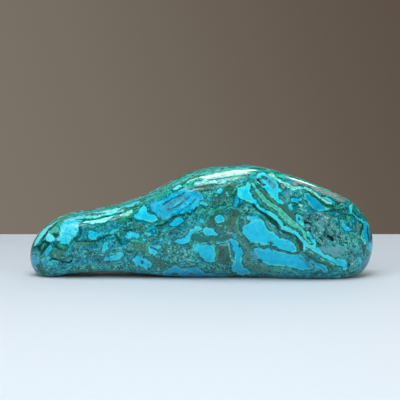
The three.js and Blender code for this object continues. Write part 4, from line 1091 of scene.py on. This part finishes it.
def stoneMaterial():
    look = stoneLook
    material = bpy.data.materials.new("polishedChrysocolla")
    material.use_nodes = True
    tree = material.node_tree
    tree.nodes.clear()

    def times(a, b):
        return maths(tree, "MULTIPLY", a, b)

    def timesPlus(value, factor, more):
        return maths(tree, "MULTIPLY_ADD", value, factor, more)

    def swayed(value, by, reach):
        # the value, moved either way by a noise
        return timesPlus(maths(tree, "SUBTRACT", by, 0.5), look["reach"][reach], value)

    def ease(value, low, high):
        return easeBetween(tree, value, low, high)

    def noise(name, where):
        return noiseAt(tree, where, *look["noise"][name])

    def mask(name, value):
        return ease(value, *look["masks"][name])

    def cells(scale, feature="F1"):
        made = addNode(tree, "ShaderNodeTexVoronoi", feature=feature)
        tree.links.new(place, made.inputs["Vector"])
        made.inputs["Scale"].default_value = scale
        return made.outputs["Color" if feature == "F1" else "Distance"]

    def stretched(where, scale, turn=0.0):
        made = addNode(tree, "ShaderNodeMapping")
        made.inputs["Scale"].default_value = scale
        made.inputs["Rotation"].default_value = (0, turn, 0)
        tree.links.new(where, made.inputs["Vector"])
        return made.outputs["Vector"]

    def attribute(name):
        # a mesh attribute, whole and split in three
        source = addNode(tree, "ShaderNodeAttribute", attribute_name=name).outputs["Vector"]
        parts = addNode(tree, "ShaderNodeSeparateXYZ")
        tree.links.new(source, parts.inputs[0])
        return source, parts.outputs

    def ringed(kind):
        # bands that follow a patch's outline: sine of depth * pace + noise * sway
        pace, sway = look["rings"][kind]
        return maths(tree, "SINE", timesPlus(marks[kind]["Depth"], pace, times(broad, sway)))

    def paint(under, layer, value, within=1, over=None):
        # lays a layer where its value is between start and full, and within a mask
        start, full, strength, flat = look["layers"][layer]
        amount = times(times(ease(value, start, full), within), strength)
        return blend(tree, amount, under, flat if over is None else over)

    def cover(under, kind, over):
        return blend(tree, times(marks[kind]["Mask"], look["cover"].get(kind, 1)), under, over)

    here = addNode(tree, "ShaderNodeTexCoord").outputs["Object"]
    place = stretched(here, (1 / mm, 1 / mm, 1 / mm))      # noise sizes are per millimetre
    fine, broad, grit, specks, dots, patchy, wisps = [
        noise(k, place) for k in ("fine", "broad", "grit", "specks", "dots", "patchy", "wisps")]
    swirl = noiseAt(tree, place, *look["noise"]["swirl"]).node.outputs["Color"]
    pull = addNode(tree, "ShaderNodeVectorMath", operation="MULTIPLY_ADD")
    tree.links.new(swirl, pull.inputs[0])
    pull.inputs[1].default_value = [look["drag"]] * 3
    tree.links.new(place, pull.inputs[2])
    swirled = pull.outputs[0]
    group = markGroup()
    marks = {k: markNode(tree, group, k, fine, broad) for k in stonePattern["kinds"]}

    # the ground between the patches: swirled teal, olive and grey with pale and deep grains
    level = swayed(swayed(noise("cloud", swirled), broad, "groundBroad"), fine, "groundFine")
    colour = ramp(tree, level, look["ground"])
    colour = paint(colour, "groundPale", grit)
    colour = paint(colour, "groundDeep", dots)

    # contour lines of the clouding, as in banded malachite, in some places only
    lines = maths(tree, "SINE", times(level, look["contours"]))
    colour = paint(colour, "contour", lines, mask("contour", noise("somewhere", place)))

    # soft blue haze and speckled green moss
    m = marks["haze"]
    haze = timesPlus(wisps, 0.9, maths(tree, "SUBTRACT", m["Tone"], 0.45))
    haze = paint(ramp(tree, haze, look["haze"]), "hazeSpeck", dots)
    colour = paint(colour, "haze", timesPlus(m["Mask"], 0.34, wisps), over=haze)
    m = marks["moss"]
    moss = timesPlus(maths(tree, "SUBTRACT", cells(look["mossCell"]), 0.5), times(m["Grain"], 1.4),
                     m["Tone"])
    often = timesPlus(m["Grain"], 0.5, 0.3)
    moss = paint(ramp(tree, moss, look["moss"]), "mossPale", grit, often)
    moss = paint(moss, "mossDeep", dots, maths(tree, "MINIMUM", times(often, 1.3), 1))
    mossy = times(m["Mask"], mask("moss", wisps))
    colour = blend(tree, times(mossy, look["cover"]["moss"]), colour, moss)

    # drawn-out streaks of turquoise, dark at their edges
    streaks = noise("streaks", stretched(swirled, look["streakScale"], look["streakTurn"]))
    streaks = swayed(streaks, fine, "streaks")
    clear = times(timesPlus(marks["haze"]["Mask"], -0.35, 0.95), timesPlus(mossy, -0.8, 1))
    colour = paint(colour, "streakEdge", streaks, clear)
    inner = ramp(tree, swayed(streaks, broad, "streakTone"), look["streak"])
    colour = paint(colour, "streak", streaks, clear, inner)
    colour = paint(colour, "streakGap", streaks, clear)

    # winding veins, dark and pale, over ground, haze and moss alike
    broken = mask("veins", broad)
    for scale, middle, width, flat in look["veins"]:
        thread = noiseAt(tree, swirled, scale, 4, 0.5)
        thread = maths(tree, "ABSOLUTE", maths(tree, "SUBTRACT", thread, middle))
        thread = times(ease(thread, width, width * 0.4), broken)
        colour = blend(tree, times(thread, 0.9), colour, flat)

    # green and turquoise strands that run the length of the crest
    strand, reach = attribute("strand")
    strands = noise("strands", stretched(strand, look["strandScale"]))
    strands = swayed(strands, broad, "strands")
    colour = blend(tree, times(reach[2], look["cover"]["strand"]), colour,
                   ramp(tree, strands, look["strand"]))

    # brown jasper-like stone, with green rinds that follow its outline, and olive stone
    m = marks["umber"]
    rings = ringed("umber")
    brown = paint(ramp(tree, m["Tone"], look["umber"]), "umberRind", rings)
    brown = paint(brown, "umberDeep", rings)
    brown = paint(brown, "umberEdge", m["Depth"])
    colour = cover(colour, "umber", paint(brown, "umberSpeck", grit, m["Grain"]))
    m = marks["olive"]
    green = paint(ramp(tree, m["Tone"], look["olive"]), "oliveSpeck", grit, m["Grain"])
    colour = cover(colour, "olive", green)

    # banding that echoes the blue patches, fading out a few millimetres away
    m = marks["blue"]
    near = times(mask("echoNear", m["Depth"]), mask("echo", patchy))
    colour = paint(colour, "blueEcho", ringed("blue"), near)
    colour = paint(colour, "blueGlow", m["Depth"], mask("glow", wisps))
    halo = maths(tree, "ABSOLUTE", maths(tree, "ADD", m["Depth"], look["haloAt"]))
    colour = paint(colour, "blueHalo", halo, mask("halo", patchy))
    colour = paint(colour, "blueMoat", m["Depth"], mask("moat", patchy))

    # chrysocolla: turquoise with a pale green rim, grains of grey-blue and deep teal
    blue = paint(ramp(tree, m["Tone"], look["blue"]), "blueMottle", specks)
    blue = paint(blue, "blueDrift", wisps)
    hair = maths(tree, "ABSOLUTE", maths(tree, "SUBTRACT", noise("hair", swirled), 0.5))
    blue = paint(blue, "blueHair", hair, mask("hair", broad))
    blue = paint(blue, "blueCore", m["Depth"])
    few = timesPlus(mask("fleckEdge", m["Depth"]), -0.07, timesPlus(m["Grain"], -0.17, 0.67))
    flecks = ease(grit, few, maths(tree, "ADD", few, 0.04))
    fleck = blend(tree, mask("fleckKind", broad), *look["blueFlecks"])
    blue = blend(tree, times(flecks, 0.75), blue, fleck)
    plain = times(maths(tree, "SUBTRACT", 0.95, m["Grain"]), mask("rim", patchy))
    colour = cover(colour, "blue", paint(blue, "blueRim", m["Depth"], plain))

    # malachite: pale to deep green, striped along its outline and edged dark
    m = marks["mint"]
    colour = paint(colour, "mintMoat", m["Depth"])
    green = paint(ramp(tree, m["Tone"], look["mint"]), "mintRings", ringed("mint"))
    green = paint(green, "mintShade", wisps)
    colour = cover(colour, "mint", paint(green, "mintFleck", specks, m["Tone"]))

    # grey-blue chalcedony weave: pale threads and dark grains; then dark stone and pale veins
    m = marks["lav"]
    grey = paint(ramp(tree, m["Tone"], look["lav"]), "lavFleck", grit, m["Grain"])
    colour = cover(colour, "lav", paint(grey, "lavSpeck", specks, m["Grain"]))
    m = marks["dark"]
    ink = paint(ramp(tree, m["Tone"], look["dark"]), "darkFleck", grit, m["Grain"])
    colour = cover(colour, "dark", ink)
    colour = cover(colour, "vein", ramp(tree, marks["vein"]["Tone"], look["vein"]))

    # crystal hollows: grey-green knobs with pale tips, dark teal between them; the colour follows knob
    # height as painted shade low between the knobs and painted highlight on their tops, the dark teal along
    # the seams is painted shade, and the pale tips are painted sparkle
    druse, knob = attribute("druse")[1][:2]
    height = swayed(swayed(knob, fine, "knobs"), patchy, "knobs")
    height = swayed(height, cells(look["crystalCell"]), "crystals")
    seams = cells(look["crystalCell"], "DISTANCE_TO_EDGE")
    crystals = paint(ramp(tree, height, look["crystals"]), "crystalGapShade", seams)
    colour = paint(colour, "crystals", noise("thinning", place), druse, crystals)
    colour = paint(colour, "crystalTipSparkle", grit, druse)

    m = marks["pit"]
    colour = cover(colour, "pit", ramp(tree, m["Tone"], look["pit"]))
    pocket = maths(tree, "MAXIMUM", m["Mask"], times(druse, 0.55))
    worn = timesPlus(fine, look["wear"], look["polish"] - look["wear"] / 2)
    roughness = timesPlus(pocket, look["pocket"] - look["polish"], worn)
    bump = addNode(tree, "ShaderNodeBump")
    bump.inputs["Strength"].default_value, bump.inputs["Distance"].default_value = look["bump"]
    relief = times(maths(tree, "ADD", fine, grit), timesPlus(pocket, 0.9, 0.035))
    tree.links.new(relief, bump.inputs["Height"])

    gloss = addNode(tree, "ShaderNodeBsdfPrincipled")
    gloss.inputs["IOR"].default_value = look["index"]
    gloss.inputs["Specular IOR Level"].default_value = look["shine"]
    tree.links.new(colour, gloss.inputs["Base Color"])
    tree.links.new(roughness, gloss.inputs["Roughness"])
    tree.links.new(bump.outputs["Normal"], gloss.inputs["Normal"])
    out = addNode(tree, "ShaderNodeOutputMaterial")
    tree.links.new(gloss.outputs[0], out.inputs["Surface"])
    return material


polishedStone.data.materials.append(stoneMaterial())
print("stone material made")

stageLook = {
    "tableBox": ((-1.8, -1.6, -0.02), (1.8, 0.2, 0)),   # its far edge is a short way behind the stone
    # painted light: the table is lighter near the front and darker further back, standing in for the fall
    # of light
    "tableNear": (219, 228, 236),
    "tableFar": (203, 212, 221),
    "tablePaintedLightFade": (-0.22, 0.16),
    "tableRough": 0.55,
    "tableShine": 0.15,
    "wall": (3, 1.6, -1, 2),     # half width, how far behind, foot and top, metres
    # the wall's painted light: lighter to the left, darker to the right
    "wallLeft": (124, 116, 105),
    "wallRight": (92, 80, 70),
    "wallPaintedLightFade": (-0.6, 0.75),
    "wallLean": 0.4,
    # panels overhead that only show as glints along the ridge: place, size, watts per square metre
    "panels": {"humpPanel": (-0.13, 0.22, 0.10, 0.32, 42),
               "humpEndPanel": (-0.06, 0.39, 0.13, 0.14, 58),
               "flankPanel": (0.415, 0.10, 0.21, 0.36, 64),
               "streakPanel": (-0.215, -0.10, 0.09, 0.14, 38),
               "saddlePanel": (-0.30, -0.36, 0.12, 0.10, 36),
               "sparkPanel": (-0.36, -0.09, 0.07, 0.10, 28),
               "skyPanel": (-0.22, 0.72, 0.50, 0.30, 1.5)},
    "panelHeight": 0.7,
    "panelColour": (1, 0.985, 0.98),
    # wide soft fills, kept out of the polished reflections: place and watts
    "fills": {"frontLeft": ((-0.7, -0.8, 0.6), 5.4), "frontRight": ((0.8, -0.7, 0.5), 3.5),
              "overhead": ((-0.05, -0.2, 0.8), 5.2), "behind": ((0.25, 0.9, 0.6), 2.6)},
    "fillSize": (0.7, 0.7),
    "fillTarget": (0, 0, 0.03),
    "fillColour": (0.96, 0.985, 1),
    "air": (150, 152, 154),
    "airStrength": 0.5,
}


def addBackdrop(name, corners, faces, materialName):
    # a plain mesh with a material of its own, its nodes, and the place on it as X, Y and Z
    mesh = bpy.data.meshes.new(name)
    mesh.from_pydata(corners, [], faces)
    made = bpy.data.objects.new(name, mesh)
    bpy.context.scene.collection.objects.link(made)
    material = bpy.data.materials.new(materialName)
    material.use_nodes = True
    mesh.materials.append(material)
    here = addNode(material.node_tree, "ShaderNodeTexCoord")
    split = addNode(material.node_tree, "ShaderNodeSeparateXYZ")
    material.node_tree.links.new(here.outputs["Object"], split.inputs[0])
    return made, material.node_tree, split.outputs


def makeTable():
    look = stageLook
    low, high = look["tableBox"]
    corners = [(x, y, z) for z in (low[2], high[2]) for y in (low[1], high[1]) for x in (low[0], high[0])]
    faces = [(0, 2, 3, 1), (4, 5, 7, 6), (0, 1, 5, 4), (2, 6, 7, 3), (0, 4, 6, 2), (1, 3, 7, 5)]
    table, tree, at = addBackdrop("table_top", corners, faces, "paleTable")
    gloss = tree.nodes["Principled BSDF"]
    # painted light: lighter near the front, darker towards the back
    toFar = easeBetween(tree, at["Y"], *look["tablePaintedLightFade"])
    tree.links.new(blend(tree, toFar, look["tableNear"], look["tableFar"]), gloss.inputs["Base Color"])
    gloss.inputs["Roughness"].default_value = look["tableRough"]
    gloss.inputs["Specular IOR Level"].default_value = look["tableShine"]
    return table


def makeWall():
    # a far wall that shines by its own emission, with painted light: lighter to the left and darker to the
    # right
    look = stageLook
    side, behind, foot, top = look["wall"]
    corners = [(-side, behind, foot), (side, behind, foot), (side, behind, top), (-side, behind, top)]
    wall, tree, at = addBackdrop("far_wall", corners, [(0, 1, 2, 3)], "dimWall")
    tree.nodes.remove(tree.nodes["Principled BSDF"])
    lean = maths(tree, "MULTIPLY_ADD", at["Z"], look["wallLean"], at["X"])
    tone = blend(tree, easeBetween(tree, lean, *look["wallPaintedLightFade"]), look["wallLeft"], look["wallRight"])
    glow = addNode(tree, "ShaderNodeEmission")
    tree.links.new(tone, glow.inputs["Color"])
    tree.links.new(glow.outputs[0], tree.nodes["Material Output"].inputs["Surface"])
    return wall


def addLamp(name, place, target, size, watts, colour):
    lamp = bpy.data.lights.new(name, "AREA")
    lamp.shape = "RECTANGLE"
    lamp.size, lamp.size_y = size
    lamp.energy = watts
    lamp.color = colour
    holder = bpy.data.objects.new(name, lamp)
    holder.location = place
    holder.rotation_euler = (Vector(target) - Vector(place)).to_track_quat("-Z", "Y").to_euler()
    bpy.context.scene.collection.objects.link(holder)
    return holder


tableTop, farWall = makeTable(), makeWall()
for name, (x, y, long, deep, bright) in stageLook["panels"].items():
    panel = addLamp(name, (x, y, stageLook["panelHeight"]), (x, y, 0), (long, deep),
                    bright * long * deep, stageLook["panelColour"])
    panel.visible_diffuse = False
for name, (place, watts) in stageLook["fills"].items():
    fill = addLamp(name, place, stageLook["fillTarget"], stageLook["fillSize"], watts,
                   stageLook["fillColour"])
    fill.visible_glossy = False
air = bpy.data.worlds.new("softAir")
air.use_nodes = True
air.node_tree.nodes["Background"].inputs[0].default_value = daylight(stageLook["air"])
air.node_tree.nodes["Background"].inputs[1].default_value = stageLook["airStrength"]
air.cycles_visibility.glossy = False
bpy.context.scene.world = air
bpy.context.scene.view_settings.view_transform = "Standard"
print("stage and lamps placed")

viewpoint = {"lens": 85, "sensor": 36, "distance": 0.494, "rise": 4.0, "target": (-0.0007, 0, 0.0393)}
lens = bpy.data.cameras.new("viewpoint")
lens.lens = viewpoint["lens"]
lens.sensor_width = viewpoint["sensor"]
camera = bpy.data.objects.new("viewpoint", lens)
rise = math.radians(viewpoint["rise"])
target = Vector(viewpoint["target"])
camera.location = target + viewpoint["distance"] * Vector((0, -math.cos(rise), math.sin(rise)))
camera.rotation_euler = (math.pi / 2 - rise, 0, 0)
bpy.context.scene.collection.objects.link(camera)
bpy.context.scene.camera = camera

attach(polishedStone, "root")
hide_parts("chrysocolla_stone")
